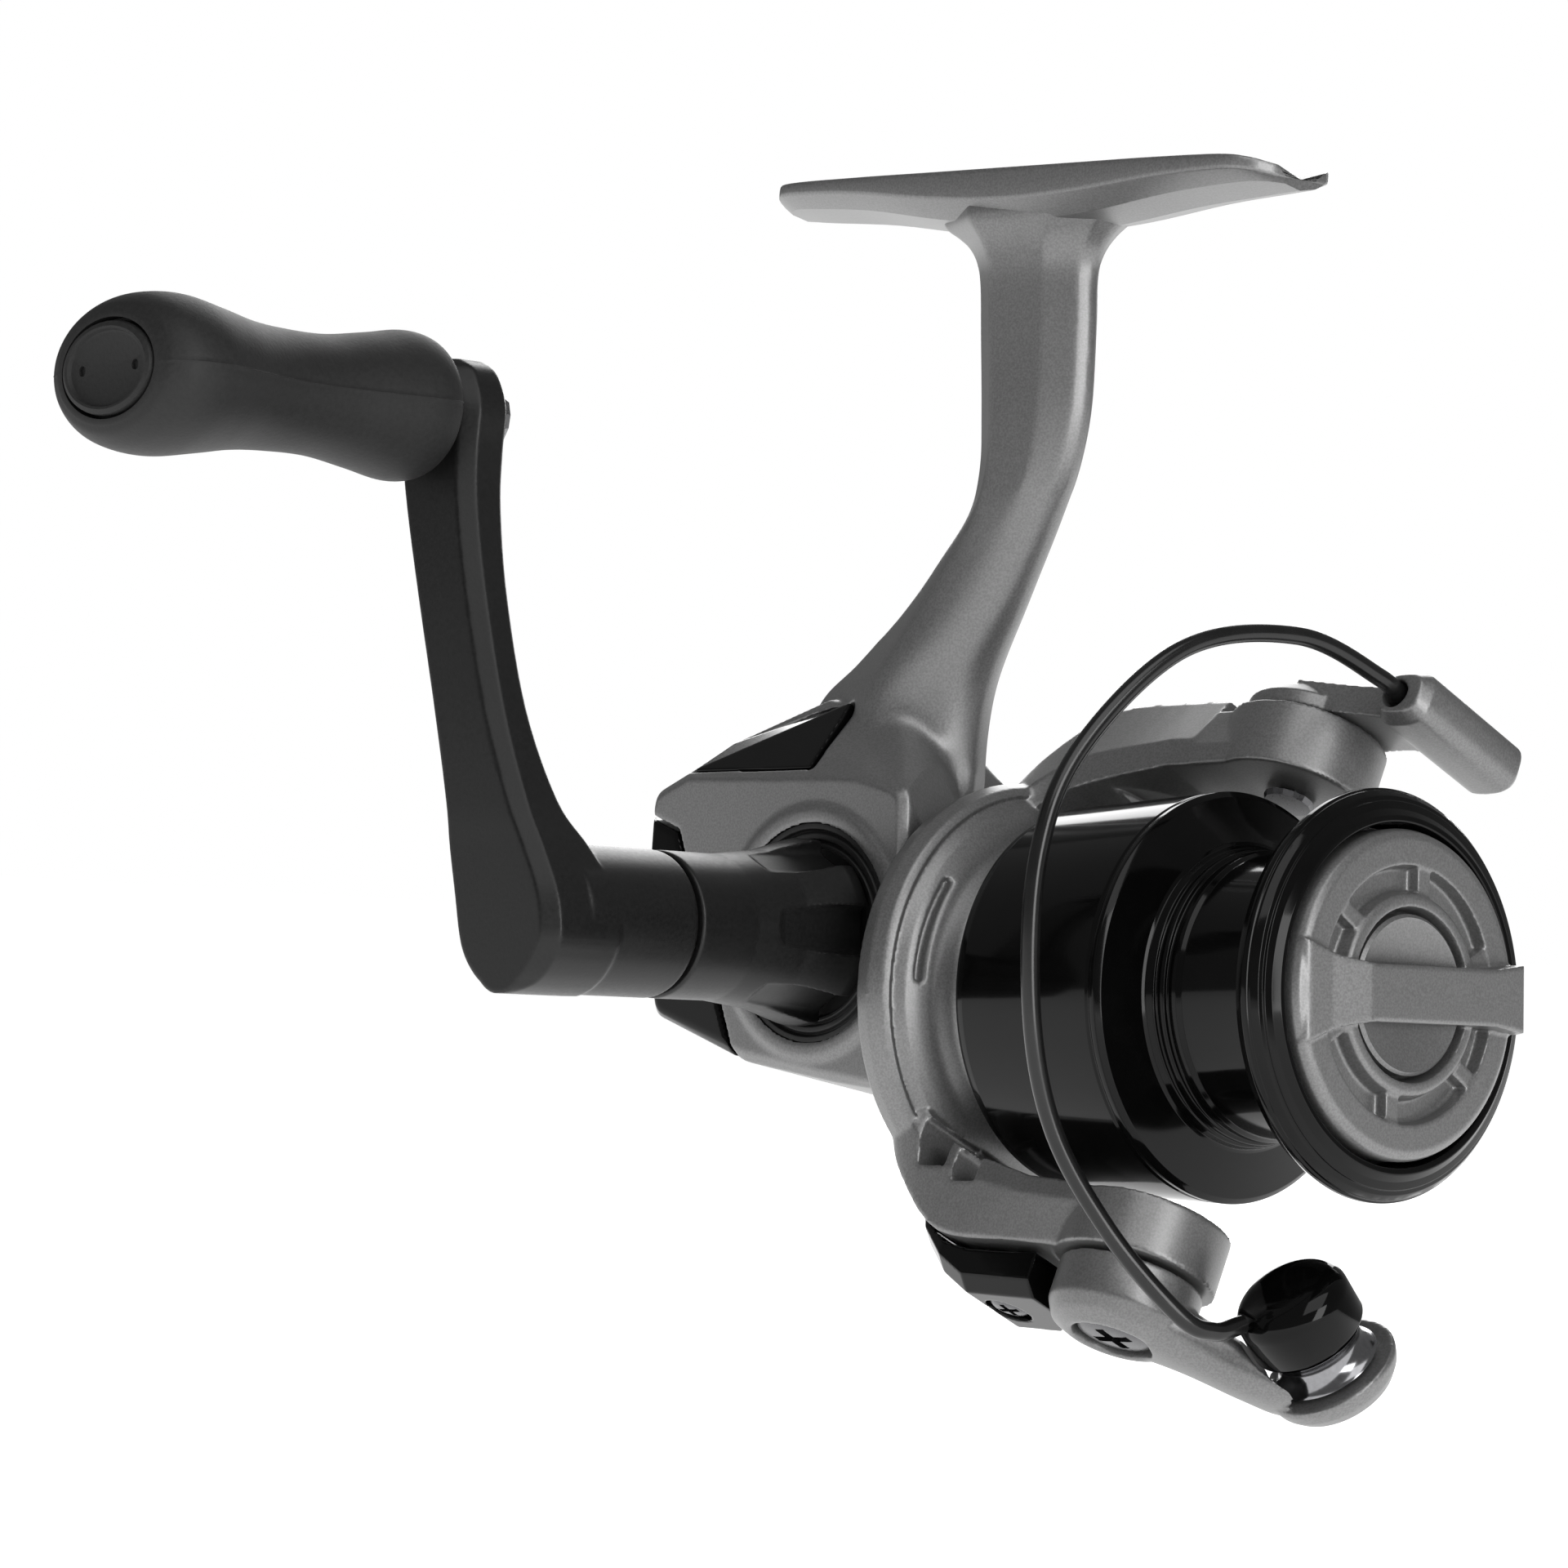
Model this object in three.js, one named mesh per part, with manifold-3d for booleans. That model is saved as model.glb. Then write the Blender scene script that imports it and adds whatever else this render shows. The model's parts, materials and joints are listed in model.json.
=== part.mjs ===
// Open-face spinning reel, built as an assembly of separate pieces.
// Two frames are used.
//   mechanism frame: X along the spool axis towards the rod tip, the handle on -Y, Z up to the foot,
//                    origin on the spool axis below the handle axis.
//   seat frame:      origin on the foot's flat seat, X along the foot, +Z out of the seat. The exported
//                    group is in this frame; the mechanism is pitched by FOOT_PITCH inside it.
import * as THREE from 'three';
import { mergeVertices } from 'three/addons/utils/BufferGeometryUtils.js';
import Module from 'manifold-3d';

const wasm = await Module();
wasm.setup();

// ---------------------------------------------------------------- driving sizes, mm
const GAP = 0.3;                       // clearance between neighbouring pieces
const RUN = 0.35;                      // clearance round turning pieces
const FOOT_PITCH = THREE.MathUtils.degToRad(3.5);
const SEAT = { x: 16.5, z: 72.3 };     // seat centre in the mechanism frame
const FOOT_LENGTH = 61;
const FOOT_HALF_WIDTH = 6.5;
const DRIVE_Z = 5.9;                   // handle axis height above the spool axis
const NEAR_FACE = -11.9;               // handle-side face of the body
const FAR_FACE = 8.6;                  // seam with the side cover
const COVER_FACE = 11.6;               // outer face of the side cover
const BODY_FRONT = 11.6;
const PORT_R = 10.3;                   // recess the handle enters
const SLEEVE_R = 6.5;
const FLARE_R = 8.4;
const ARM_TOP = { x: -12.8, z: 50.6 }; // knob axis
const LIP_R = 17.5;
const LIP_X = 56.6;
const SKIRT_R = 17.8;
const SKIRT_FRONT = 40.7;
const SKIRT_REAR = 23;
const ARBOR_R = 12.2;
const KNOB_R = 14;                     // drag knob
const ROTOR_R = 19.4;
const BAIL_X = 39.1;                   // bail pivot axis station
const ARM_LEAN = THREE.MathUtils.degToRad(25); // rotor arms' axis, turned from Z
const GEAR_TEETH = 26;
const PINION_TEETH = 5;                // 26 to 5 gives the 5.2 : 1 retrieve

// ---------------------------------------------------------------- materials
const finish = {
  silver_paint: () => new THREE.MeshStandardMaterial({ color: 0x8f9092, metalness: 0.6, roughness: 0.42 }),
  black_gloss: () => new THREE.MeshStandardMaterial({ color: 0x0b0b0c, metalness: 0, roughness: 0.12 }),
  spool_black: () => new THREE.MeshStandardMaterial({ color: 0x101012, metalness: 0.5, roughness: 0.18 }),
  handle_black: () => new THREE.MeshStandardMaterial({ color: 0x1c1c1d, metalness: 0.2, roughness: 0.45 }),
  grip_rubber: () => new THREE.MeshStandardMaterial({ color: 0x2a2a2b, metalness: 0, roughness: 0.75 }),
  chrome_metal: () => new THREE.MeshStandardMaterial({ color: 0xd5d6d8, metalness: 1, roughness: 0.1 }),
  steel: () => new THREE.MeshStandardMaterial({ color: 0x9c9ea2, metalness: 1, roughness: 0.35 }),
  wire_black: () => new THREE.MeshStandardMaterial({ color: 0x1a1a1c, metalness: 0.8, roughness: 0.25 }),
  brass: () => new THREE.MeshStandardMaterial({ color: 0xb08d4a, metalness: 1, roughness: 0.35 }),
  gear_alloy: () => new THREE.MeshStandardMaterial({ color: 0xa7a8aa, metalness: 1, roughness: 0.4 }),
  seal_rubber: () => new THREE.MeshStandardMaterial({ color: 0x121212, metalness: 0, roughness: 0.6 }),
  drag_felt: () => new THREE.MeshStandardMaterial({ color: 0x6e6a60, metalness: 0, roughness: 0.95 }),
};

// ---------------------------------------------------------------- solid helpers
function solid(geometry) {
  const g = geometry.clone();
  g.deleteAttribute('normal');
  g.deleteAttribute('uv');
  const m = mergeVertices(g, 1e-4);
  const made = new wasm.Manifold(new wasm.Mesh({
    numProp: 3,
    vertProperties: new Float32Array(m.attributes.position.array),
    triVerts: new Uint32Array(m.index.array),
  }));
  if (made.volume() < 0) throw new Error('a profile is inside out');
  return made;
}

const join = (...s) => s.reduce((a, b) => a.add(b));
const cut = (a, ...s) => s.reduce((x, y) => x.subtract(y), a);

function geometryOf(made) {
  const mesh = made.getMesh();
  const g = new THREE.BufferGeometry();
  g.setAttribute('position', new THREE.BufferAttribute(new Float32Array(mesh.vertProperties), 3));
  g.setIndex(new THREE.BufferAttribute(new Uint32Array(mesh.triVerts), 1));
  return g;
}

// Revolves [station, radius] points. The closed loop turns about the named axis.
function turned(points, segments, axis = 'X') {
  const first = points[0];
  const last = points[points.length - 1];
  const loop = [...points];
  if (first[1] !== 0 || last[1] !== 0) loop.push(first);
  const g = new THREE.LatheGeometry(loop.map(([s, r]) => new THREE.Vector2(r, s)), segments);
  if (axis === 'X') g.rotateZ(-Math.PI / 2);
  if (axis === 'Z') g.rotateX(Math.PI / 2);
  return orient(g);
}

// Returns the solid of a closed surface whichever way its faces were wound.
function orient(geometry) {
  try {
    return solid(geometry);
  } catch (e) {
    const g = geometry.clone();
    const i = g.index.array;
    for (let k = 0; k < i.length; k += 3) [i[k + 1], i[k + 2]] = [i[k + 2], i[k + 1]];
    return solid(g);
  }
}

const rod = (r, from, to, segments, axis = 'X') =>
  turned([[from, 0], [from, r], [to, r], [to, 0]], segments, axis);

const ring = (outer, inner, from, to, segments, axis = 'X') =>
  turned([[from, inner], [from, outer], [to, outer], [to, inner]], segments, axis);

// Joins rings of equal point counts into one closed skin.
function loft(rings) {
  const n = rings[0].length;
  const positions = rings.flat().flat();
  const index = [];
  for (let r = 0; r + 1 < rings.length; r++) {
    for (let k = 0; k < n; k++) {
      const a = r * n + k;
      const b = r * n + (k + 1) % n;
      index.push(a, b, b + n, a, b + n, a + n);
    }
  }
  [0, rings.length - 1].forEach((r) => {
    const centre = positions.length / 3;
    const mean = [0, 1, 2].map((c) => rings[r].reduce((s, p) => s + p[c], 0) / n);
    positions.push(...mean);
    for (let k = 0; k < n; k++) {
      const a = r * n + k;
      const b = r * n + (k + 1) % n;
      if (r === 0) index.push(b, a, centre);
      else index.push(a, b, centre);
    }
  });
  const g = new THREE.BufferGeometry();
  g.setAttribute('position', new THREE.BufferAttribute(new Float32Array(positions), 3));
  g.setIndex(index);
  return orient(g);
}

// A rounded oval as [u, v] points; power 2 is an ellipse, more is squarer.
function oval(halfU, halfV, count, power = 2) {
  return Array.from({ length: count }, (_, k) => {
    const a = 2 * Math.PI * k / count;
    const round = (c) => Math.sign(c) * Math.abs(c) ** (2 / power);
    return [halfU * round(Math.cos(a)), halfV * round(Math.sin(a))];
  });
}

// Prism of an outline in the XZ plane, from one y to another.
function plateXZ(outline, yFrom, yTo) {
  return loft([yFrom, yTo].map((y) => outline.map(([x, z]) => [x, y, z])));
}

function block(x0, x1, y0, y1, z0, z1) {
  return plateXZ([[x0, z0], [x1, z0], [x1, z1], [x0, z1]], y0, y1);
}

// Arm frame: stations [x, t, d], d outward along the arm axis, t across it towards the handle side.
const ARM_D = new THREE.Vector3(0, -Math.sin(ARM_LEAN), -Math.cos(ARM_LEAN));
const ARM_T = new THREE.Vector3(0, -Math.cos(ARM_LEAN), Math.sin(ARM_LEAN));
function armPoint(x, t, d) {
  return [x, ARM_T.y * t + ARM_D.y * d, ARM_T.z * t + ARM_D.z * d];
}

// Moves a solid built about the X axis at the origin onto a pivot along the arm axis.
function onArmAxis(made, x, t) {
  const basis = new THREE.Matrix4().makeBasis(ARM_D, new THREE.Vector3(1, 0, 0),
    new THREE.Vector3().crossVectors(ARM_D, new THREE.Vector3(1, 0, 0)));
  const [px, py, pz] = armPoint(x, t, 0);
  basis.setPosition(px, py, pz);
  return made.transform(basis.elements);
}

// ---------------------------------------------------------------- assembly
const group = new THREE.Group();
const mechanism = new THREE.Group();
mechanism.rotation.y = -FOOT_PITCH;
mechanism.position.set(-SEAT.x, 0, -SEAT.z).applyAxisAngle(new THREE.Vector3(0, 1, 0), -FOOT_PITCH);
group.add(mechanism);

function add(name, made, material) {
  const mesh = new THREE.Mesh(geometryOf(made), finish[material]());
  mesh.name = name;
  mechanism.add(mesh);
}

// ---------------------------------------------------------------- foot, stem and body
const SIDE_SCREWS = [[-15.4, 17.4], [4.6, 17.4], [8.8, -5.9], [-6.4, -4]];
const COVER_TOP = 19.4;

const BODY_SIDE = [
  [-21.2, -1.2], [-9, -5.6], [2, -7.4], [BODY_FRONT, -8.6], [BODY_FRONT, 8], [BODY_FRONT, 18.5],
  [6, 20.2], [0, 20.6], [-17, 21], [-21.6, 19.2], [-22.6, 8],
];
const BODY_RIDGE = [
  [-21.8, -1.8], [-9, -6.4], [2, -8.6], [BODY_FRONT, -10], [BODY_FRONT, 8], [8.8, 21.4],
  [4.4, 25.8], [-5, 27.6], [-16.5, 24.4], [-23.4, 21], [-24, 8],
];
const BODY_SIDE_FAR = BODY_SIDE.map(([x, z], k) => (k === 5 ? [5.4, 18.2] : k === 6 ? [2.4, 20] : [x, z]));
const BODY_RIDGE_FAR = BODY_RIDGE.map(([x, z], k) => (k === 4 ? [x, 14.6] : k === 5 ? [5.2, 18.6] : k === 6 ? [3.6, 23.6] : [x, z]));
const BODY_CENTRE = [-4, 7];

function shrink(outline, by) {
  return outline.map(([x, z]) => {
    const dx = x - BODY_CENTRE[0];
    const dz = z - BODY_CENTRE[1];
    const k = 1 - by / Math.hypot(dx, dz);
    return [BODY_CENTRE[0] + dx * k, BODY_CENTRE[1] + dz * k];
  });
}

function bodyShell(yNear, yFar) {
  const at = (outline, y) => outline.map(([x, z]) => [x, y, z]);
  const rings = [
    [shrink(BODY_SIDE, 0.9), NEAR_FACE],
    [BODY_SIDE, NEAR_FACE + 0.8],
    [BODY_RIDGE, -5],
    [BODY_RIDGE_FAR, 5],
    [BODY_SIDE_FAR, COVER_FACE - 0.8],
    [shrink(BODY_SIDE_FAR, 0.9), COVER_FACE],
  ];
  const whole = loft(rings.map(([outline, y]) => at(outline, y)));
  return whole.intersect(block(-60, 60, yNear, yFar, -60, 90));
}

// Stem stations: height, rear x, front x, half thickness.
const STEM = [
  [18, -11.5, 8.4, 7.4],
  [24, -10.6, 9.2, 7.2],
  [28, -8.4, 10.2, 6.6],
  [31, -4.2, 11.6, 5.9],
  [35, 0.4, 14.2, 4.8],
  [40, 5.2, 17.1, 4],
  [44, 8.9, 19.1, 3.7],
  [48, 10.1, 21, 3.5],
  [53, 10.2, 22.3, 3.5],
  [60, 10, 22.8, 3.5],
  [66, 9.9, 22.9, 3.6],
  [68.6, 9.2, 23.7, 4],
  [70.4, 7.8, 25.2, 4.8],
  [71.6, 5.5, 27.5, 5.6],
];

function stem() {
  return loft(STEM.map(([z, rear, front, half]) =>
    oval((front - rear) / 2, half, 20, 2.7).map(([u, v]) => [(rear + front) / 2 + u, v, z])));
}

// Foot stations in the seat frame: x as a share of the half length, half width as a share,
// edge height above the seat, side thickness, middle thickness.
const FOOT = [
  [-1, 0.5, 1.1, 1.1, 1],
  [-0.96, 0.78, 1.6, 1.2, 1.1],
  [-0.88, 0.94, 1.9, 1.3, 1.3],
  [-0.6, 1, 2, 1.7, 1.9],
  [-0.28, 1, 2, 2.6, 3.1],
  [0, 1, 2, 3, 3.6],
  [0.3, 1, 2, 2.7, 3.1],
  [0.62, 1, 2, 1.9, 1.9],
  [0.86, 0.96, 1.9, 1.5, 1.3],
  [0.95, 0.8, 1.6, 1.3, 1.1],
  [1, 0.5, 1.1, 1.1, 1],
];

function foot() {
  const half = FOOT_LENGTH / 2;
  const made = loft(FOOT.map(([x, w, edge, side, middle]) => {
    const y = FOOT_HALF_WIDTH * w;
    const flat = Math.min(2.5, y * 0.6);
    const low = edge - side;
    return [
      [-y, edge], [-flat, 0], [flat, 0], [y, edge], [y, low],
      [y * 0.62, (low - middle) * 0.62], [0, -middle], [-y * 0.62, (low - middle) * 0.62], [-y, low],
    ].map(([a, b]) => [x * half, a, b]);
  }));
  const place = new THREE.Matrix4().makeRotationY(FOOT_PITCH).setPosition(SEAT.x, 0, SEAT.z);
  return made.transform(place.elements);
}

// The slanted seam of the rear cover, as a wedge of the body behind it.
function rearWedge(clear) {
  return plateXZ([[-40, -30], [-7.4 + clear, -12], [-17.6 + clear, 15.8 + clear], [-23.4, 18 + clear], [-40, 18 + clear]],
    -30, 30);
}

// Black inlay on a shoulder; side is -1 for the handle side, grow opens its pocket.
function shoulderPanel(side, grow) {
  const depth = 1.1 + grow;
  const stations = [[-16.9 - grow, 0], [-1.6 + grow, 1]];
  return loft(stations.map(([x, far]) => {
    const low = { y: -10.9, z: 21 - 0.4 * far };
    const high = { y: -5.3, z: 24.15 + 3.2 * far };
    const dy = high.y - low.y;
    const dz = high.z - low.z;
    const len = Math.hypot(dy, dz);
    const u = [dy / len, dz / len];
    const n = [-u[1], u[0]];
    const corner = (along, out) => [
      x,
      -side * (low.y + u[0] * along + n[0] * out),
      low.z + u[1] * along + n[1] * out,
    ];
    return [corner(0.35 - grow, 0.12), corner(len - 0.4 + grow, 0.12),
      corner(len - 0.4 + grow, -depth), corner(0.35 - grow, -depth)];
  }));
}

function gearRoom() {
  return plateXZ([[-13, -2], [-8, -4.4], [-1, -6], [11.2, -6], [11.2, 15], [7, 17.3], [-7, 17.3], [-13, 14]], -8.4, 40)
    .intersect(block(-13, 11.2, -8.4, 40, -6, 17.3));
}

const NOSE_R = 15;       // round nose of the body inside the rotor
const NOSE_FRONT = 14.6;
const CLUTCH_R = 8.8;
const CLUTCH_FROM = 13.3;
const BEARING_R = 5;
const PINION_BEARING_R = 4;
const REAR_SCREW_Z = 12.6;
const OSC = { x: -6.7, z: 1 };         // oscillation gear axis
const OSC_FROM_Y = 2.6;

function frameCasting() {
  const port = rod(PORT_R, NEAR_FACE - 1, NEAR_FACE + 2, 36, 'Y').translate(0, 0, DRIVE_Z);
  const collar = ring(PORT_R + 1.3, PORT_R - 0.6, NEAR_FACE - 0.35, NEAR_FACE + 2, 36, 'Y').translate(0, 0, DRIVE_Z);
  const bearingHole = rod(BEARING_R + 0.15, -10.4, -8, 24, 'Y').translate(0, 0, DRIVE_Z);
  const nose = rod(NOSE_R, 11.3, NOSE_FRONT, 36);
  const clutchSeat = rod(CLUTCH_R + GAP, CLUTCH_FROM - 0.2, NOSE_FRONT + 1, 28);
  const pinionHole = rod(PINION_BEARING_R + 0.15, 10, 14, 20);
  const farTop = bodyShell(FAR_FACE - 0.1, 30).intersect(block(-40, 40, 0, 30, COVER_TOP + GAP, 60));
  const screwHoles = SIDE_SCREWS.map(([x, z]) => rod(1.1, FAR_FACE - 5.4, FAR_FACE + 1, 12, 'Y').translate(x, 0, z));
  const rearHole = rod(1.1, -20, -11, 12).translate(0, 0, REAR_SCREW_Z);
  const stemSide = stem().subtract(block(-60, 60, FAR_FACE, 60, -60, COVER_TOP + GAP));
  let made = join(bodyShell(-30, FAR_FACE), farTop, stemSide, foot(), nose.subtract(block(-60, 60, FAR_FACE, 60, -60, 60)), collar);
  made = cut(made, port, bearingHole, gearRoom(), clutchSeat, pinionHole, rearWedge(0));
  return cut(made, shoulderPanel(-1, GAP), shoulderPanel(1, GAP), rearHole, ...screwHoles);
}

function sideCover() {
  const plate = bodyShell(FAR_FACE + GAP, 30).intersect(block(-60, 60, 0, 60, -60, COVER_TOP));
  const inner = plateXZ([[-12, 1], [-6, -1.6], [7, -3.2], [7, 13.6], [-12, 15]], FAR_FACE - 1, COVER_FACE - 1.6);
  const boss = ring(6.2, BEARING_R + 0.15, FAR_FACE - 2, COVER_FACE - 1.5, 24, 'Y').translate(0, 0, DRIVE_Z);
  const post = rod(1.2, OSC_FROM_Y + 0.1, COVER_FACE - 1.5, 14, 'Y').translate(OSC.x, 0, OSC.z);
  let made = join(cut(plate, rearWedge(0), inner), boss, post);
  SIDE_SCREWS.forEach(([x, z]) => {
    made = cut(made, rod(1.95, COVER_FACE - 1.1, COVER_FACE + 2, 14, 'Y').translate(x, 0, z),
      rod(1.1, FAR_FACE - 1, COVER_FACE + 1, 12, 'Y').translate(x, 0, z));
  });
  return made;
}

function screw(headR, headLength, shankR, shankLength, slotted = true) {
  // Head top at zero, shank towards minus, along Y.
  let made = turned([[0, 0], [0, headR * 0.82], [-0.25, headR], [-headLength, headR],
    [-headLength, shankR], [-headLength - shankLength, shankR], [-headLength - shankLength, 0]], 10, 'Y');
  if (slotted) {
    const w = headR * 0.16;
    const l = headR * 0.62;
    made = cut(made, block(-l, l, -0.5, 1, -w, w), block(-w, w, -0.5, 1, -l, l));
  }
  return made;
}

function rearCover() {
  const kept = bodyShell(-40, 40).intersect(rearWedge(-GAP));
  const hollow = plateXZ([[-20.6, 0.2], [-6, -4.6], [-10, 9], [-19.6, 9.8]], -9.6, 9.4);
  return cut(kept, hollow, rod(1.1, -30, -10, 12).translate(0, 0, REAR_SCREW_Z),
    rod(2.1, -30, -22.4, 14).translate(0, 0, REAR_SCREW_Z));
}

// ---------------------------------------------------------------- handle side
function portSeal() {
  const top = NEAR_FACE - 0.1;
  return turned([[top + 1.7, 3.5], [top + 1.7, 9.9], [top, 9.9], [top, 9.3], [top + 0.5, 9.1], [top + 0.1, 8.9],
    [top + 0.1, 8.4], [top + 0.7, 8.2], [top + 0.7, 3.5]], 30, 'Y').translate(0, 0, DRIVE_Z);
}

function bearing(outer, inner, from, to, axis, segments = 18) {
  const mid = (outer + inner) / 2;
  const lip = (outer - inner) * 0.2;
  return turned([[from, inner], [from, mid - lip], [from + 0.2, mid], [from, mid + lip],
    [from, outer], [to, outer], [to, inner]], segments, axis);
}

const SLEEVE_END = -12.4;

function handleSleeve() {
  let made = turned([[-31.1, 3.05], [-31.1, SLEEVE_R - 0.1], [-30.6, SLEEVE_R], [-24.5, SLEEVE_R], [-19, 7.1],
    [-14, FLARE_R], [-12.9, FLARE_R], [SLEEVE_END, FLARE_R - 0.4], [SLEEVE_END, 3.05]], 30, 'Y');
  const flutes = 6;
  for (let k = 0; k < flutes; k++) {
    const scoop = loft([[-23.6, 1.2, 7.1], [-21.6, 2, 6.6], [-13.2, 2.1, 6.9], [-11, 2.1, 6.9]].map(([y, half, floor]) =>
      [[-half, floor], [half, floor], [half + 0.5, 12], [-half - 0.5, 12]].map(([x, z]) => [x, y, z])));
    made = cut(made, scoop.rotate([0, 360 * (k + 0.5) / flutes, 0]));
  }
  return made.translate(0, 0, DRIVE_Z);
}

// Arm stations from hub to knob: z, centre x, half width, outer y, inner y.
const ARM = [
  [0.6, 0.4, 3.2, -48.6, -40.4],
  [2.6, 0.1, 5.5, -49, -40.2],
  [5.9, 0, 6.7, -49, -40],
  [9, -0.9, 6.5, -49, -40.2],
  [12, -2, 6, -49, -41.6],
  [16, -3.4, 5.2, -49, -43.4],
  [24, -6.1, 4.5, -48.8, -44.2],
  [34, -9.2, 4.4, -48.3, -43.8],
  [42, -11.6, 4.6, -47.6, -42.8],
  [47, -12.7, 4.9, -47, -42],
  [51, -12.8, 4.9, -46.6, -41.6],
  [54, -12.8, 3.6, -46.3, -41.6],
  [55.2, -12.8, 1.9, -46, -41.9],
];

function handleArm() {
  const body = loft(ARM.map(([z, cx, half, out, inn]) => {
    const b = Math.min(1.3, half * 0.35);
    const c = 0.9;
    return [
      [cx - half, inn - c], [cx - half, out + b], [cx - half + b, out], [cx + half - b, out],
      [cx + half, out + b], [cx + half, inn - c], [cx + half - c, inn], [cx - half + c, inn],
    ].map(([x, y]) => [x, y, z]);
  }));
  const collar = turned([[-44, 0], [-44, SLEEVE_R], [-31.9, SLEEVE_R], [-31.4, SLEEVE_R - 0.4], [-31.4, 0]], 30, 'Y')
    .translate(0, 0, DRIVE_Z);
  const bore = rod(2.9 + 0.3, -46, -30, 20, 'Y').translate(0, 0, DRIVE_Z);
  const post = rod(2.1 + 0.3, -50, -39, 16, 'Y').translate(ARM_TOP.x, 0, ARM_TOP.z);
  return cut(join(body, collar), bore, post);
}

const KNOB_IN = -47.7;
const KNOB_OUT = -82.4;
// Knob stations along y: station, half width along x, half height along z.
const KNOB = [
  [KNOB_OUT, 6.9, 4.7],
  [-81.8, 8.2, 5.7],
  [-80, 9.5, 6.6],
  [-77, 9.7, 6.9],
  [-73, 8.5, 6.3],
  [-69, 7.1, 5.6],
  [-65, 6.2, 5.3],
  [-60, 6, 5.3],
  [-55, 6.6, 6],
  [-51.5, 7, 6.6],
  [-49.4, 6.7, 6.4],
  [-48.2, 5.9, 5.6],
  [KNOB_IN, 4.6, 4.4],
];

function knobGrip() {
  const grip = loft(KNOB.map(([y, hx, hz]) => oval(hx, hz, 24, 2.1).map(([x, z]) => [x, y, z])));
  const bore = rod(2.55, -80, -40, 20, 'Y');
  const capSeat = loft([-83, -81.2].map((y) => oval(6.3, 4.3, 20).map(([x, z]) => [x, y, z])));
  const counter = rod(3.6, -82, -79.6, 20, 'Y');
  return cut(grip, bore, capSeat, counter).translate(ARM_TOP.x, 0, ARM_TOP.z);
}

function knobCap() {
  const cap = loft([[-82.75, 5.5, 3.5], [-82.5, 6, 4], [-81.5, 6, 4]].map(([y, hx, hz]) =>
    oval(hx, hz, 20).map(([x, z]) => [x, y, z])));
  const hole = rod(0.45, -84, -82.1, 10, 'Y');
  return cut(cap, hole.translate(-4, 0, 0), hole.translate(4, 0, 0)).translate(ARM_TOP.x, 0, ARM_TOP.z);
}

function knobPost() {
  return turned([[-81.1, 0], [-81.1, 3.1], [-80.3, 3.1], [-80.3, 2.2], [-41, 2.2], [-41, 3.4], [-40.2, 3], [-40.2, 0]], 16, 'Y').translate(ARM_TOP.x, 0, ARM_TOP.z);
}

// ---------------------------------------------------------------- gears
const RATIO = GEAR_TEETH / PINION_TEETH;
const HELIX = Math.PI / 4;             // pinion helix, equal to the gear teeth's lean
const CONTACT_X = 8;                   // where the rims meet along the spool axis
const PINION_R = (CONTACT_X + DRIVE_Z * Math.tan(HELIX)) / RATIO; // pitch radius that keeps the ratio
const TOOTH_DEPTH = 0.42;              // above and below pitch
const RIM_FACE = -PINION_R - TOOTH_DEPTH - 0.35;
const SHAFT_R = 1.3;

function driveGear() {
  const rimR = 10.8;
  let made = turned([[RIM_FACE - 1.9, 0], [RIM_FACE - 1.9, rimR], [RIM_FACE, rimR], [RIM_FACE, 8.4],
    [RIM_FACE - 0.5, 8], [RIM_FACE - 0.5, 3.9], [0.4, 3.9], [0.4, 0]], 32, 'Y');
  const lean = new THREE.Vector2(Math.cos(HELIX), -Math.sin(HELIX));
  const side = new THREE.Vector2(-lean.y, lean.x);
  const reach = 1.5;
  for (let k = 0; k < GEAR_TEETH; k++) {
    const tooth = loft([[RIM_FACE - 0.2, 0.5], [-PINION_R + TOOTH_DEPTH, 0.2]].map(([y, half]) =>
      [[-reach, -half], [reach * 0.5, -half], [reach * 0.5, half], [-reach, half]].map(([along, across]) => [
        CONTACT_X + lean.x * along + side.x * across, y, -DRIVE_Z + lean.y * along + side.y * across])));
    made = join(made, tooth.rotate([0, 360 * (k + 0.5) / GEAR_TEETH, 0]));
  }
  const small = spur(4, 3.2, 12, OSC_FROM_Y, OSC_FROM_Y + 1.4);
  const shaft = join(rod(2.9, -44, 0, 20, 'Y'), rod(2.9, 0, COVER_FACE - 2.2, 20, 'Y'));
  return join(made, shaft, small).translate(0, 0, DRIVE_Z);
}

function spur(tipR, rootR, teeth, yFrom, yTo, phase = 0) {
  const outline = [];
  for (let k = 0; k < teeth; k++) {
    [[-0.3, rootR], [-0.13, tipR], [0.13, tipR], [0.3, rootR]].forEach(([share, r]) => {
      const a = 2 * Math.PI * (k + share + phase) / teeth;
      outline.push([r * Math.cos(a), r * Math.sin(a)]);
    });
  }
  return plateXZ(outline, yFrom, yTo);
}

function oscillationGear() {
  const gear = spur(4.8, 4, 14, OSC_FROM_Y, OSC_FROM_Y + 1.4, OSC_PHASE);
  const pin = rod(0.8, 1.75, OSC_FROM_Y + 0.2, 10, 'Y').translate(0, 0, -3.2);
  return cut(join(gear, pin), rod(1.55, 0, 6, 14, 'Y')).translate(OSC.x, 0, OSC.z);
}

const OSC_PHASE = 0.115;

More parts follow.
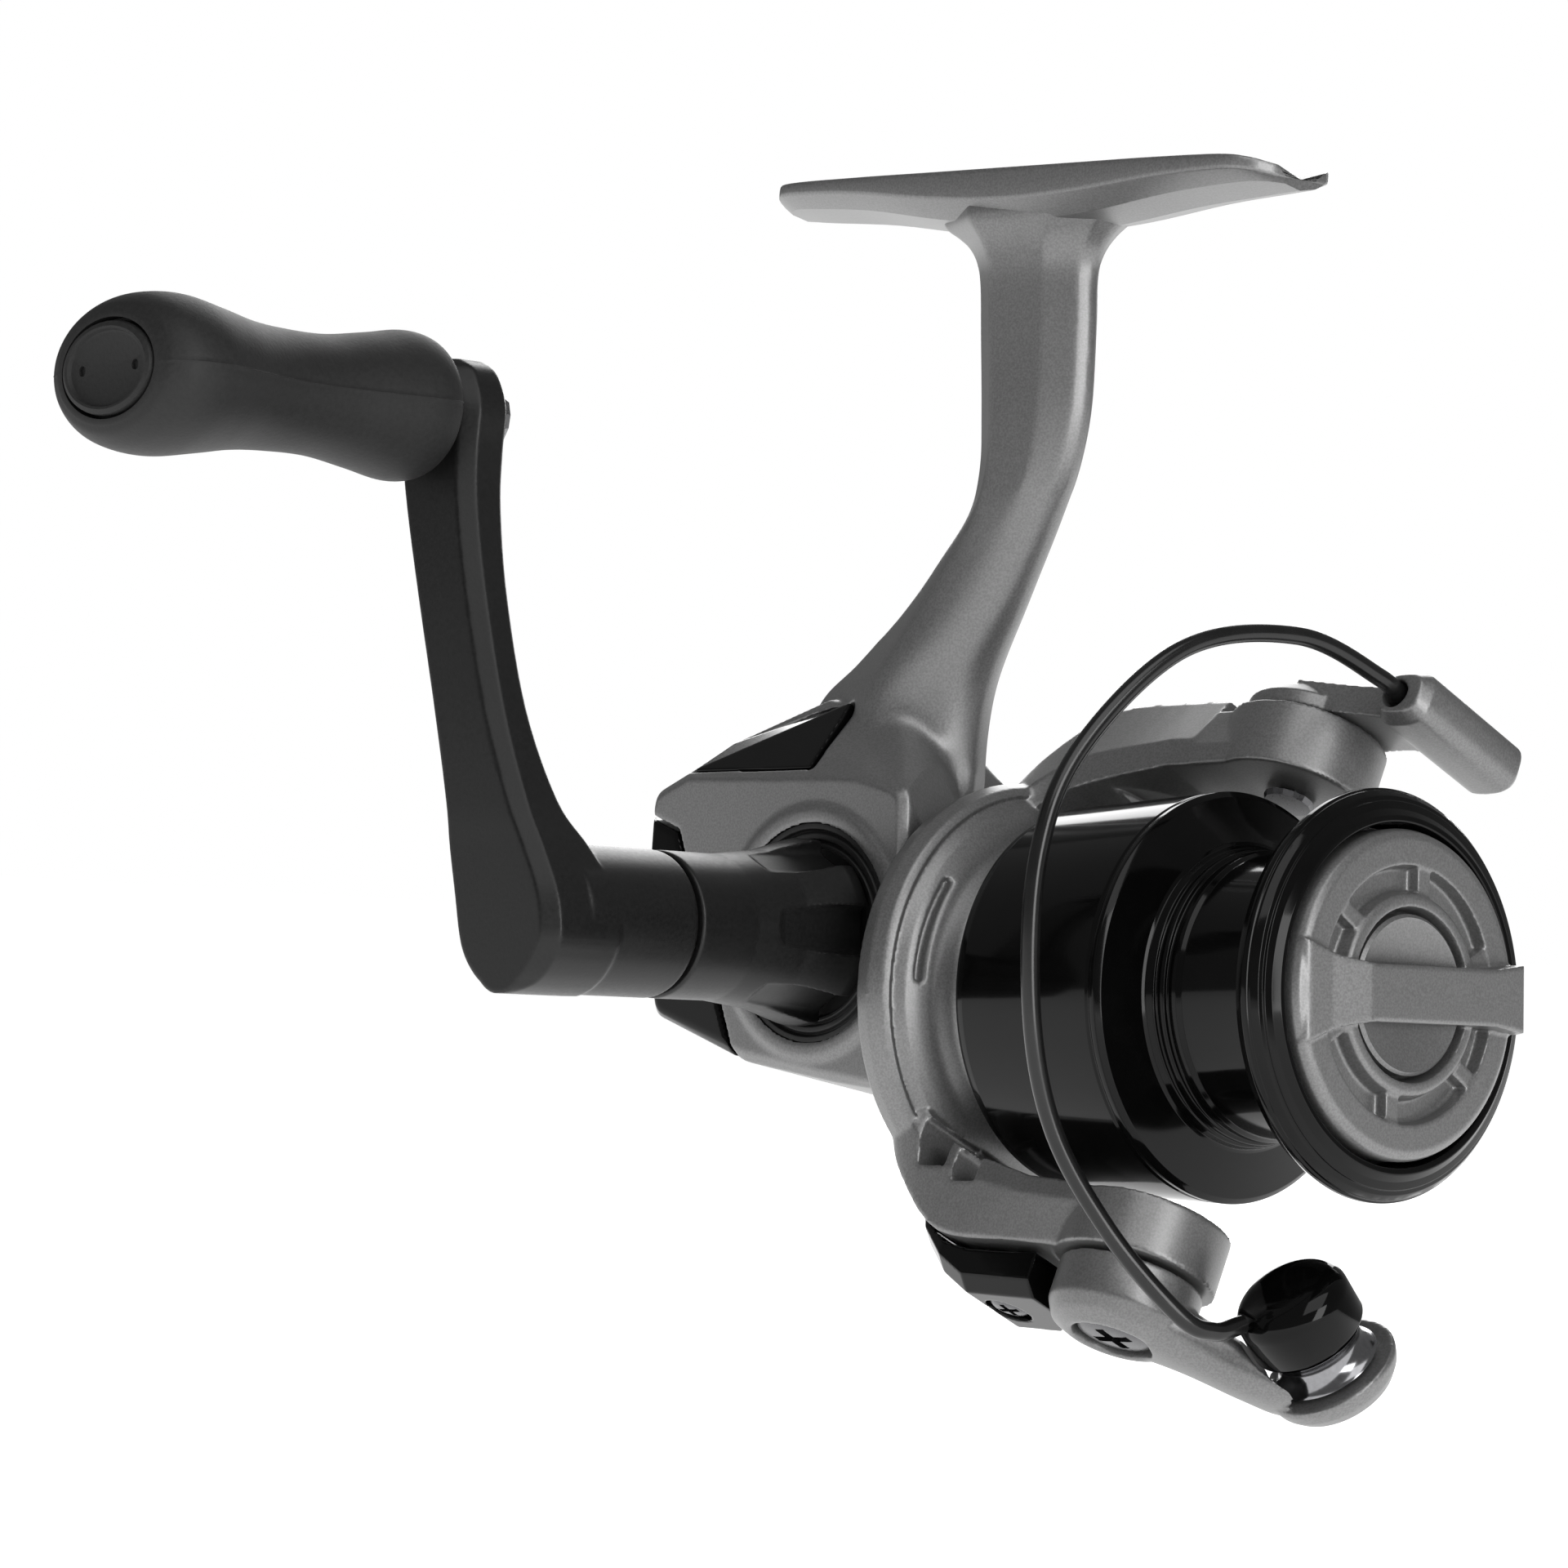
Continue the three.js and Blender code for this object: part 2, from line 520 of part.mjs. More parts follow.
function pinion() {
  const teethFrom = CONTACT_X - 2.6;
  const teethTo = CONTACT_X + 2.4;
  const rows = 7;
  const section = (x) => {
    const twist = (x - CONTACT_X) * Math.tan(HELIX) / PINION_R;
    const points = [];
    for (let k = 0; k < PINION_TEETH; k++) {
      [[-0.3, -TOOTH_DEPTH - 0.1], [-0.11, TOOTH_DEPTH], [0.11, TOOTH_DEPTH], [0.3, -TOOTH_DEPTH - 0.1]].forEach(
        ([share, out]) => {
          const a = 2 * Math.PI * (k + share) / PINION_TEETH + twist * PINION_HAND;
          const r = PINION_R + out;
          points.push([x, -r * Math.cos(a), -r * Math.sin(a)]);
        });
    }
    return points;
  };
  const teeth = loft(Array.from({ length: rows }, (_, k) =>
    section(teethFrom + (teethTo - teethFrom) * k / (rows - 1))));
  const tube = rod(2.15, teethFrom - 0.4, 28, 20);
  return cut(join(tube, teeth), rod(SHAFT_R + RUN, 0, 40, 16));
}

const PINION_HAND = 1;

// ---------------------------------------------------------------- rotor
// Arm stations: x, inner d, outer d, half width at the inner face, half width of the top.
const LOWER_ARM = [
  [12.6, 12, 16.6, 9.6, 7.6],
  [15.2, 13, 20.6, 9.4, 7.4],
  [20.4, 17.4, 25.2, 7.4, 6],
  [30, 20.2, 25.9, 6.8, 5.6],
  [36, 20.8, 26.3, 6.8, 5.6],
  [40, 21.4, 26.3, 6.6, 5.6],
];
const UPPER_ARM = [
  [12.6, -12, -16.8, 9.6, 7.6],
  [15.2, -13, -22, 9, 6.4],
  [20, -17.4, -26.8, 7.4, 4.6],
  [30, -19.6, -27.6, 6.8, 3.8],
  [32.4, -19.6, -27.4, 6.8, 4],
  [32.8, -19.6, -25.6, 6.8, 5.4],
  [40, -19.8, -25.6, 6.6, 5.4],
];
const EAR_R = 7.1;

function rotorArm(stations) {
  return loft(stations.map(([x, inner, outer, half, top]) => {
    const shoulder = inner + (outer - inner) * 0.3;
    return [[-half, inner], [-half - 0.2, shoulder], [-top, outer], [top, outer], [half + 0.2, shoulder], [half, inner]]
      .map(([t, d]) => armPoint(x, t, d));
  }));
}

function rotorCup() {
  const bore = 2.15 + GAP;
  const cup = turned([[12.3, 15.8], [12.3, 17.4], [13.2, 19], [14.8, ROTOR_R], [16.2, 19], [16.9, 17.7], [17.3, 17.7],
    [17.5, 17.2], [18.7, 14.6], [19.4, 12.8], [33, 12.4], [33, 11.2], [20.6, 11.2], [19.6, 10.4], [19.6, bore],
    [15.6, bore], [15.6, 15.8]], 36);
  const lowerEar = onArmAxis(rod(EAR_R, 21.2, 26.3, 28), BAIL_X, 0);
  const upperEar = onArmAxis(rod(EAR_R, -25.6, -19.7, 28), BAIL_X, 0);
  const screwHole = onArmAxis(rod(1.5, -40, 40, 14), BAIL_X, 0);
  const arms = join(rotorArm(LOWER_ARM), rotorArm(UPPER_ARM)).subtract(rod(15.8, 10, 15.6, 32));
  const made = join(cup, arms, lowerEar, upperEar);
  const wellInside = rod(19.2, 23, 60, 48);
  const coverHole = onArmAxis(rod(1, 22, 30, 12), COVER_SCREW_X, 0);
  return cut(made, wellInside.subtract(rod(13, 0, 60, 24)), screwHole.subtract(rod(15, 0, 60, 24)), coverHole);
}

const COVER_SCREW_X = 26;

function armCover() {
  const rows = [
    [14, 20.4, 21.6, 2.6],
    [17.2, 23.1, 25.4, 4.4],
    [20.6, 25.8, 28.2, 5],
    [24, 26.5, 30, 5],
    [32.2, 26.7, 30.4, 5],
  ];
  const made = loft(rows.map(([x, inner, outer, half]) => [
    [-half, inner], [-half, outer - 1.2], [-half + 1.4, outer], [half - 1.4, outer], [half, outer - 1.2], [half, inner],
  ].map(([t, d]) => armPoint(x, t, d))));
  const round = onArmAxis(rod(BAIL_ARM_R + GAP, 20, 40, 28), BAIL_X, 0);
  const head = onArmAxis(rod(2.1, 29, 40, 16), COVER_SCREW_X, 0);
  const shank = onArmAxis(rod(1, 20, 40, 12), COVER_SCREW_X, 0);
  // The corner the open bail arm swings over.
  const corner = loft([27.6, 34].map((d) => [[-5, 0.9], [-5, -8], [-13.4, -8], [-11.9, -5.6]].map(([x, t]) =>
    armPoint(BAIL_X + x, t, d))));
  return cut(made, round, head, shank, corner, rotorArm(LOWER_ARM.map(([x, i, o, h, t]) => [x, i, o + GAP, h + GAP, t + GAP])));
}

const BAIL_ARM_R = 6.3;

// ---------------------------------------------------------------- spool, shaft and drag
function spool() {
  return turned([[SKIRT_REAR, 16.1], [SKIRT_REAR, 16.7], [24, 16.95], [39.4, SKIRT_R - 0.05], [40.2, SKIRT_R],
    [SKIRT_FRONT, 17.3], [41.7, 13.1], [42.6, 12.8], [45.2, ARBOR_R],
    [51.4, ARBOR_R], [52, 12.6], [55.6, 17], [LIP_X, LIP_R], [57.3, 17.45], [57.9, 16.8],
    [58.4, 15.7], [58.9, 15.1], [58.9, KNOB_R + 0.5], [54.3, KNOB_R + 0.5], [54.3, 8.7], [46, 8.7], [46, SHAFT_R + RUN],
    [35.2, SHAFT_R + RUN], [35.2, 4.5], [39.4, 4.5], [39.6, 15.6], [38.6, 16.3]], 36);
}

function dragKnob() {
  const base = 54.6;
  const shell = turned([[base, 5], [base, KNOB_R - 0.6], [55.2, KNOB_R - 0.05], [58.8, KNOB_R], [59.5, KNOB_R - 0.25],
    [59.9, KNOB_R - 1.1], [59.9, KNOB_R - 2.1], [59.3, KNOB_R - 2.5], [59.3, 8.8], [60.2, 8.4], [60.2, 7.6],
    [58.2, 7.2], [58.2, 5]], 36);
  let made = shell;
  const ribs = 6;
  for (let k = 0; k < ribs; k++) {
    const rib = loft([59.1, 59.85].map((x) => [[8.2, -0.45], [12, 1.4], [12, 2.3], [8.2, 0.45]].map(([y, z]) => [x, y, z])));
    made = join(made, rib.rotate([360 * (k + 0.25) / ribs, 0, 0]));
  }
  const bar = loft([[59, 0.3], [61.5, 0], [61.9, -0.5]].map(([x, more]) => [
    [-13.2, -4 - more], [-8.8, -2.5 - more], [13.4 + more, -2.5 - more], [13.4 + more, 2.5 + more],
    [-8.8, 2.5 + more], [-13.2, 4 + more],
  ].map(([y, z]) => [x, y, z])));
  return cut(join(made, bar), rod(5, 50, 60.4, 24), rod(7.1, 58.3, 60.4, 36));
}

function dragButton() {
  return turned([[57.6, 0], [57.6, 4.7], [58.5, 4.7], [58.5, 6.8], [59.7, 6.8], [60, 6.5], [60, 0]], 36);
}

function dragNut() {
  return turned([[55, SHAFT_R + GAP], [55, 4.4], [57.2, 4.4], [57.2, SHAFT_R + GAP]], 6);
}

function mainShaft() {
  return turned([[-9.4, 0], [-9.4, SHAFT_R], [56.6, SHAFT_R], [57.2, SHAFT_R - 0.4], [57.2, 0]], 16);
}

function slider() {
  const made = block(-9, -4.4, -1.9, 1.4, -2.4, 1.35);
  return cut(made, rod(SHAFT_R + 0.05, -20, 20, 16), block(-7.6, -5.8, 0.9, 3, -4, -1.6));
}

// ---------------------------------------------------------------- bail and line roller
const ROLLER = { x: BAIL_X + 13.8, t: -9.4, d: 28.1 };
const ROLLER_TILT = THREE.MathUtils.degToRad(23); // roller axis, turned from the t direction towards the spool

// Moves a solid built about X onto the roller axis; +X becomes the direction towards the cap.
function onRollerAxis(made) {
  const u = ARM_T.clone().multiplyScalar(Math.cos(ROLLER_TILT)).addScaledVector(ARM_D, -Math.sin(ROLLER_TILT));
  const v = new THREE.Vector3(1, 0, 0);
  const basis = new THREE.Matrix4().makeBasis(u, v, new THREE.Vector3().crossVectors(u, v));
  basis.setPosition(...armPoint(ROLLER.x, ROLLER.t, ROLLER.d));
  return made.transform(basis.elements);
}

// Bail arm stations: x from the pivot, t, d, half width, half thickness.
const BAIL_ARM = [
  [0, 0, 29.8, 5.6, 2.6],
  [4.8, -3.8, 30.7, 3.6, 2.4],
  [9.3, -7.3, 31.9, 3, 2.1],
  [13.2, -10.6, 32.6, 3.6, 2],
  [15.2, -13.6, 31.6, 4.8, 2.5],
  [16, -16.2, 30.6, 3.4, 1.9],
];

function bailArm() {
  const strip = loft(BAIL_ARM.map(([x, t, d, half, thick], k) => {
    const a = BAIL_ARM[Math.max(k - 1, 0)];
    const b = BAIL_ARM[Math.min(k + 1, BAIL_ARM.length - 1)];
    const heading = Math.atan2(b[1] - a[1], b[0] - a[0]);
    return oval(half, thick, 14, 2.4).map(([u, v]) =>
      armPoint(BAIL_X + x - Math.sin(heading) * u, t + Math.cos(heading) * u, d + v));
  }));
  const hub = onArmAxis(turned([[26.7, 0], [26.7, BAIL_ARM_R], [30.4, BAIL_ARM_R], [31.8, 5.6], [32.5, 4.2], [32.6, 0]], 28),
    BAIL_X, 0);
  const pad = onRollerAxis(turned([[-5.4, 0], [-5.4, 3.4], [-4.6, 4.9], [-3.2, 5.5], [-2.4, 5.5], [-2.4, 0]], 24));
  const post = onRollerAxis(rod(1.4, -3, 1.4, 14));
  const roomForRoller = onRollerAxis(rod(5.4, -2.39, 8, 24).subtract(rod(1.41, -3, 8, 14)));
  const screwSeat = onArmAxis(rod(3.6, 31, 40, 20), BAIL_X, 0);
  const shank = onArmAxis(rod(1.5, 20, 40, 14), BAIL_X, 0);
  return cut(join(cut(join(strip, hub, pad), roomForRoller), post), screwSeat, shank);
}

function lineRoller() {
  return onRollerAxis(turned([[-2.1, 1.75], [-2.1, 4.5], [-1.6, 4.6], [-0.9, 3.8], [0.4, 3.8], [1, 4.3], [1, 1.75]], 28));
}

function rollerCap() {
  return onRollerAxis(turned([[1.4, 1.7], [1.4, 4.9], [1.8, 5.1], [4, 4.95], [5.6, 4], [6.4, 2.3], [6.7, 0], [1.75, 0],
    [1.75, 1.7]], 28));
}

const BLOCK = { x: BAIL_X + 13.8, t: -2.2, d: -26.6 };

function bailLever() {
  const hub = onArmAxis(turned([[-29, 0], [-28.9, 3], [-28.3, 5], [-27.3, 6], [-26, 6], [-26, 0]], 28), BAIL_X, 0);
  const neck = loft([[1, 4.6, -27.5, 1.4], [8, 3.4, -27.1, 1.4], [12.4, 3.2, -26.7, 1.6]].map(([x, half, d, thick]) =>
    [[-half, d - thick], [half, d - thick], [half, d + thick], [-half, d + thick]].map(([t, dd]) =>
      armPoint(BAIL_X + x, t, dd))));
  const weight = loft([[-8.4, 1.9, 1.6], [-7.4, 2.8, 2.4], [5.4, 2.8, 2.5], [6.6, 2.1, 1.8]].map(([t, halfX, halfD]) =>
    oval(halfX, halfD, 12, 3).map(([u, v]) => armPoint(BLOCK.x + u, BLOCK.t + 0.6 + t, BLOCK.d + v))));
  const wireHole = loft([1.5, 12].map((t) => oval(WIRE_R + 0.5, WIRE_R + 0.5, 12).map(([u, v]) =>
    armPoint(BAIL_X + 13.2 + u, t, BLOCK.d + v))));
  const shank = onArmAxis(rod(1.5, -27.6, -20, 14), BAIL_X, 0);
  return cut(join(hub, neck, weight), wireHole, shank);
}

const WIRE_R = 0.8;
// Bent wire, as x from the pivot, t and d.
const WIRE = [
  [13.2, 2.2, -26.6], [12.8, 7, -27.1], [11.2, 16.2, -26.1], [8.4, 25.6, -19.8], [5.6, 30.4, -8], [4.6, 30.2, 2],
  [4.2, 25.2, 13.4], [4.6, 18.8, 21.6], [7, 11.1, 27.5], [10.6, 4, 31.6], [11.7, 0.6, 31.5], [12.1, -1.9, 29.7],
];

function bailWire() {
  const path = new THREE.CatmullRomCurve3(WIRE.map(([x, t, d]) => new THREE.Vector3(...armPoint(BAIL_X + x, t, d))),
    false, 'centripetal');
  const section = new THREE.Shape(oval(WIRE_R, WIRE_R, 7).map(([u, v]) => new THREE.Vector2(u, v)));
  return orient(new THREE.ExtrudeGeometry(section, { steps: 44, bevelEnabled: false, extrudePath: path }));
}

// ---------------------------------------------------------------- build
add('frame_casting', frameCasting(), 'silver_paint');
add('side_cover', sideCover(), 'silver_paint');
add('rear_cover', rearCover(), 'black_gloss');
add('shoulder_panel_near', shoulderPanel(-1, 0), 'black_gloss');
add('shoulder_panel_far', shoulderPanel(1, 0), 'black_gloss');
SIDE_SCREWS.forEach(([x, z], k) => {
  add(`side_screw_${k + 1}`, screw(1.65, 0.7, 0.8, 3.6).translate(x, COVER_FACE - 0.1, z), 'steel');
});
add('rear_screw', screw(1.8, 0.9, 0.8, 6).rotate([0, 0, 90]).translate(-23.4, 0, REAR_SCREW_Z), 'steel');
add('port_seal', portSeal(), 'seal_rubber');
add('drive_bearing_near', bearing(BEARING_R, 3.2, -9.8, -8.3, 'Y').translate(0, 0, DRIVE_Z), 'steel');
add('drive_bearing_far', bearing(BEARING_R, 3.2, 7, 9.4, 'Y').translate(0, 0, DRIVE_Z), 'steel');
add('pinion_bearing', bearing(PINION_BEARING_R, 2.5, 11.4, 13, 'X'), 'steel');
add('clutch', bearing(CLUTCH_R, 2.5, CLUTCH_FROM, 15.1, 'X', 28), 'handle_black');
add('handle_arm', handleArm(), 'handle_black');
add('handle_sleeve', handleSleeve(), 'handle_black');
add('knob_post', knobPost(), 'steel');
add('knob_grip', knobGrip(), 'grip_rubber');
add('knob_cap', knobCap(), 'grip_rubber');
add('drive_gear', driveGear(), 'gear_alloy');
add('oscillation_gear', oscillationGear(), 'brass');
add('rotor', rotorCup(), 'silver_paint');
add('pinion', pinion(), 'brass');
add('rotor_nut', turned([[20, 2.9], [20, 5], [22.6, 5], [22.6, 2.9]], 6), 'steel');
add('arm_cover', armCover(), 'black_gloss');
add('arm_cover_screw', onArmAxis(screw(1.8, 1, 0.7, 5.4).rotate([0, 0, -90]).translate(30, 0, 0), COVER_SCREW_X, 0),
  'steel');
add('main_shaft', mainShaft(), 'steel');
add('slider', slider(), 'brass');
add('shaft_washer', ring(3.4, SHAFT_R + 0.1, 33.4, 34.8, 20), 'steel');
add('spool', spool(), 'spool_black');
add('drag_washers', ring(8.3, SHAFT_R + RUN, 46.3, 50.4, 28), 'drag_felt');
add('drag_retainer', ring(8.4, 7.4, 50.7, 51.5, 28), 'steel');
add('drag_knob', dragKnob(), 'silver_paint');
add('drag_button', dragButton(), 'silver_paint');
add('drag_nut', dragNut(), 'steel');
add('bail_arm', bailArm(), 'silver_paint');
add('bail_arm_screw', onArmAxis(screw(3.2, 1, 1.2, 6).rotate([0, 0, -90]).translate(32.3, 0, 0), BAIL_X, 0), 'steel');
add('bail_lever', bailLever(), 'silver_paint');
add('bail_lever_pin', onArmAxis(turned([[-27.3, 0], [-27.3, 1.2], [-19.4, 1.2], [-19.4, 2.3], [-18.9, 2.1], [-18.9, 0]], 14),
  BAIL_X, 0), 'steel');
add('bail_wire', bailWire(), 'wire_black');
add('roller_cap', rollerCap(), 'black_gloss');
add('line_roller', lineRoller(), 'chrome_metal');

export default group;
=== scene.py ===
"""Looks of the spinning reel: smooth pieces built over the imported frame, with procedural finishes."""
import json
import math

import bmesh
import bpy
import numpy as np
from mathutils import Matrix, Vector


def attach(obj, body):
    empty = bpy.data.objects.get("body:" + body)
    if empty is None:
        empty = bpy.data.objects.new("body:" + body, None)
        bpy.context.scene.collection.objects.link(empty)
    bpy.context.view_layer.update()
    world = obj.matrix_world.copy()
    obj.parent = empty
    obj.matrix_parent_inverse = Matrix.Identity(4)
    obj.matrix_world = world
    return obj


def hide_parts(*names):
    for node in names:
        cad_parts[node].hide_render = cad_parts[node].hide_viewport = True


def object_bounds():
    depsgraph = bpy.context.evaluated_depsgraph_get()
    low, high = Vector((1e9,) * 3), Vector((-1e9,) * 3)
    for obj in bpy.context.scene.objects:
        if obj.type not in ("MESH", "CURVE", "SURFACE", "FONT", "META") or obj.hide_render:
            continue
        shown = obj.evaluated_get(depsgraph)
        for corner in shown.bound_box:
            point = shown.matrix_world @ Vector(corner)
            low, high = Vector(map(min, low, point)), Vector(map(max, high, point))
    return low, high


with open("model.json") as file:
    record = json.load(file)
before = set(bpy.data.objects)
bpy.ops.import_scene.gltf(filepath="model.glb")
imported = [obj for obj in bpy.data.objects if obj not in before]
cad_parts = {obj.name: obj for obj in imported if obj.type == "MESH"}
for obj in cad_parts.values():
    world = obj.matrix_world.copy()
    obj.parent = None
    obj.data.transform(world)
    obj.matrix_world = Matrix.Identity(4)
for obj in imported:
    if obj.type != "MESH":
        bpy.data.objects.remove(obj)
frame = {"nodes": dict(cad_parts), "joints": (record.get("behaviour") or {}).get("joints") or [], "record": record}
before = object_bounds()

JOINTS = {j["name"]: j for j in frame["joints"]}
MM = 0.001

# ------------------------------------------------------------ frames
# Mechanism frame, mm: X along the spool axis, the handle on -Y, Z up to the foot.
SPOOL_AXIS = Vector(JOINTS["rotor_spin"]["axis"])
ROTOR_STATION = 20
ORIGIN = Vector(JOINTS["rotor_spin"]["pos_m"]) - SPOOL_AXIS * ROTOR_STATION * MM
PITCH = math.atan2(SPOOL_AXIS.z, SPOOL_AXIS.x)
TO_ROW = Matrix.Translation(ORIGIN) @ Matrix.Rotation(-PITCH, 4, "Y") @ Matrix.Scale(MM, 4)
FROM_ROW = TO_ROW.inverted()


def joint_at(name):
    return FROM_ROW @ Vector(JOINTS[name]["pos_m"])


DRIVE_Z = joint_at("crank_turn").z
KNOB_AT = joint_at("knob_spin")
BAIL_X = joint_at("bail_flip").x
ROLLER_AT = joint_at("roller_spin")
SEAT = FROM_ROW @ Vector((0, 0, 0))
GAP = 0.3
NEAR_FACE = -11.9
FAR_FACE = 8.6
COVER_FACE = 11.6
COVER_TOP = 19.4
BODY_FRONT = 11.6
REAR_SCREW_Z = 12.6
OSC = joint_at("oscillation_spin")
SIDE_SCREWS = [(-15.4, 17.4), (4.6, 17.4), (8.8, -5.9), (-6.4, -4)]
SCREW_BORE = 1.1
PIVOT_BORE = 1.5
COVER_SCREW_X = 26
COVER_SCREW_BORE = 1

# Rotor arm frame: d outward along the lower arm, t across it towards the handle side.
ARM_LEAN = math.radians(25)
ARM_D = Vector((0, -math.sin(ARM_LEAN), -math.cos(ARM_LEAN)))
ARM_T = Vector((0, -math.cos(ARM_LEAN), math.sin(ARM_LEAN)))
ROLLER_AXIS = (FROM_ROW.to_3x3() @ Vector(JOINTS["roller_spin"]["axis"])).normalized()


def arm_point(x, t, d):
    return Vector((x, 0, 0)) + ARM_T * t + ARM_D * d


def axes_matrix(first, second, at):
    third = first.cross(second)
    m = Matrix((first, second, third)).transposed().to_4x4()
    m.translation = at
    return m


def on_arm(x, t=0):
    """Turns a piece built about X so that X is the arm axis."""
    return axes_matrix(ARM_D, Vector((1, 0, 0)), arm_point(x, t, 0))


ON_ROLLER = axes_matrix(ROLLER_AXIS, Vector((1, 0, 0)), ROLLER_AT)
ABOUT_Y = Matrix.Rotation(math.radians(90), 4, "Z")


def about_y(x=0, z=0):
    return Matrix.Translation((x, 0, z)) @ ABOUT_Y


# ------------------------------------------------------------ mesh tools
def solid(points, faces, name="part"):
    mesh = bpy.data.meshes.new(name)
    mesh.from_pydata([tuple(p) for p in points], [], faces)
    bm = bmesh.new()
    bm.from_mesh(mesh)
    bmesh.ops.remove_doubles(bm, verts=bm.verts, dist=1e-5)
    bmesh.ops.recalc_face_normals(bm, faces=bm.faces)
    bm.to_mesh(mesh)
    bm.free()
    obj = bpy.data.objects.new(name, mesh)
    bpy.context.scene.collection.objects.link(obj)
    return obj


def loft(rings):
    """Closed skin through rings of equal point counts, with a fan on each end."""
    n = len(rings[0])
    points = [Vector(p) for ring in rings for p in ring]
    faces = []
    for r in range(len(rings) - 1):
        for k in range(n):
            a, b = r * n + k, r * n + (k + 1) % n
            faces.append((a, b, b + n, a + n))
    for r in (0, len(rings) - 1):
        centre = len(points)
        points.append(sum((Vector(p) for p in rings[r]), Vector()) / n)
        faces += [(r * n + k, r * n + (k + 1) % n, centre) for k in range(n)]
    return solid(points, faces)


def fillet(points, radius, steps=4, closed=True):
    """Rounds each corner of a line of 2-D points with a small arc."""
    made = []
    count = len(points)
    for k, p in enumerate(points):
        if not closed and k in (0, count - 1):
            made.append(tuple(p))
            continue
        a = Vector(points[k - 1]) - Vector(p)
        b = Vector(points[(k + 1) % count]) - Vector(p)
        la, lb = a.length, b.length
        if la < 1e-6 or lb < 1e-6:
            made += [tuple(p)] * (steps + 1)
            continue
        angle = math.acos(max(-1, min(1, a.dot(b) / la / lb)))
        reach = min(radius / max(math.tan(angle / 2), 1e-3), 0.45 * la, 0.45 * lb)
        start, end = Vector(p) + a * reach / la, Vector(p) + b * reach / lb
        for s in range(steps + 1):
            u = s / steps
            q = start * (1 - u) ** 2 + Vector(p) * 2 * u * (1 - u) + end * u * u
            made.append(tuple(q))
    return made


def turned(profile, segments=128, place=None, radius=0.0, ring=False):
    """Revolves (station, radius) points about X; ring closes the loop away from the axis."""
    line = fillet(profile, radius, 4, closed=ring) if radius else [tuple(p) for p in profile]
    points, faces = [], []
    for k in range(segments):
        a = 2 * math.pi * k / segments
        points += [(s, r * math.cos(a), r * math.sin(a)) for s, r in line]
    n = len(line)
    last = n if ring or line[0][1] > 0 or line[-1][1] > 0 else n - 1
    for k in range(segments):
        base, other = k * n, (k + 1) % segments * n
        for i in range(last):
            j = (i + 1) % n
            faces.append((base + i, base + j, other + j, other + i))
    made = solid(points, faces)
    if place:
        made.data.transform(place)
    return made


def rod(r, x0, x1, place=None, segments=64):
    return turned([(x0, 0), (x0, r), (x1, r), (x1, 0)], segments, place)


def spline(rows, steps):
    """Catmull-Rom through the rows of a table, column by column."""
    rows = np.array(rows, float)
    ends = np.vstack([2 * rows[0] - rows[1], rows, 2 * rows[-1] - rows[-2]])
    made = []
    for k in range(1, len(ends) - 2):
        p0, p1, p2, p3 = ends[k - 1:k + 3]
        for s in range(steps):
            u = s / steps
            made.append(0.5 * (2 * p1 + (p2 - p0) * u + (2 * p0 - 5 * p1 + 4 * p2 - p3) * u * u
                               + (3 * p1 - p0 - 3 * p2 + p3) * u ** 3))
    return made + [rows[-1]]


def oval(half_u, half_v, count=64, power=2.0):
    made = []
    for k in range(count):
        a = 2 * math.pi * k / count
        c, s = math.cos(a), math.sin(a)
        made.append((half_u * math.copysign(abs(c) ** (2 / power), c),
                     half_v * math.copysign(abs(s) ** (2 / power), s)))
    return made


def plate(outline, y0, y1, round_corners=0.0):
    line = fillet(outline, round_corners) if round_corners else outline
    return loft([[(x, y, z) for x, z in line] for y in (y0, y1)])


def block(x0, x1, y0, y1, z0, z1):
    return plate([(x0, z0), (x1, z0), (x1, z1), (x0, z1)], y0, y1)


def bake(obj):
    graph = bpy.context.evaluated_depsgraph_get()
    mesh = bpy.data.meshes.new_from_object(obj.evaluated_get(graph))
    obj.modifiers.clear()
    obj.data = mesh
    return obj


def combine(obj, others, operation):
    for other in others:
        step = obj.modifiers.new("step", "BOOLEAN")
        step.operation = operation
        step.object = other
        step.solver = "MANIFOLD"
        bake(obj)
        bpy.data.objects.remove(other)
    return obj


def cut(obj, *others):
    return combine(obj, others, "DIFFERENCE")


def join(obj, *others):
    return combine(obj, others, "UNION")


def common(obj, *others):
    return combine(obj, others, "INTERSECT")


def soften(obj, voxel, passes):
    """Rounds every edge as a casting or moulding has it."""
    remesh = obj.modifiers.new("remesh", "REMESH")
    remesh.mode = "VOXEL"
    remesh.voxel_size = voxel
    bake(obj)
    smooth = obj.modifiers.new("smooth", "SMOOTH")
    smooth.factor = 0.5
    smooth.iterations = passes
    return bake(obj)


def dress(obj, name, body, slot, *nodes, angle=40):
    """Names a finished piece, puts it in the row frame and lets it stand for its CAD nodes."""
    obj.name = name
    obj.data.transform(TO_ROW)
    obj.data.polygons.foreach_set("use_smooth", [True] * len(obj.data.polygons))
    obj.data.set_sharp_from_angle(angle=math.radians(angle))
    obj.data.materials.clear()
    obj.data.materials.append(FINISH[slot])
    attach(obj, body)
    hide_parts(*nodes)
    return obj


# ------------------------------------------------------------ finishes
def new_finish(name):
    material = bpy.data.materials.new(name)
    material.use_nodes = True
    nodes = material.node_tree.nodes
    return material, nodes, material.node_tree.links, nodes["Principled BSDF"]


def constant(shader, **values):
    for key, value in values.items():
        shader.inputs[key.replace("_", " ")].default_value = value


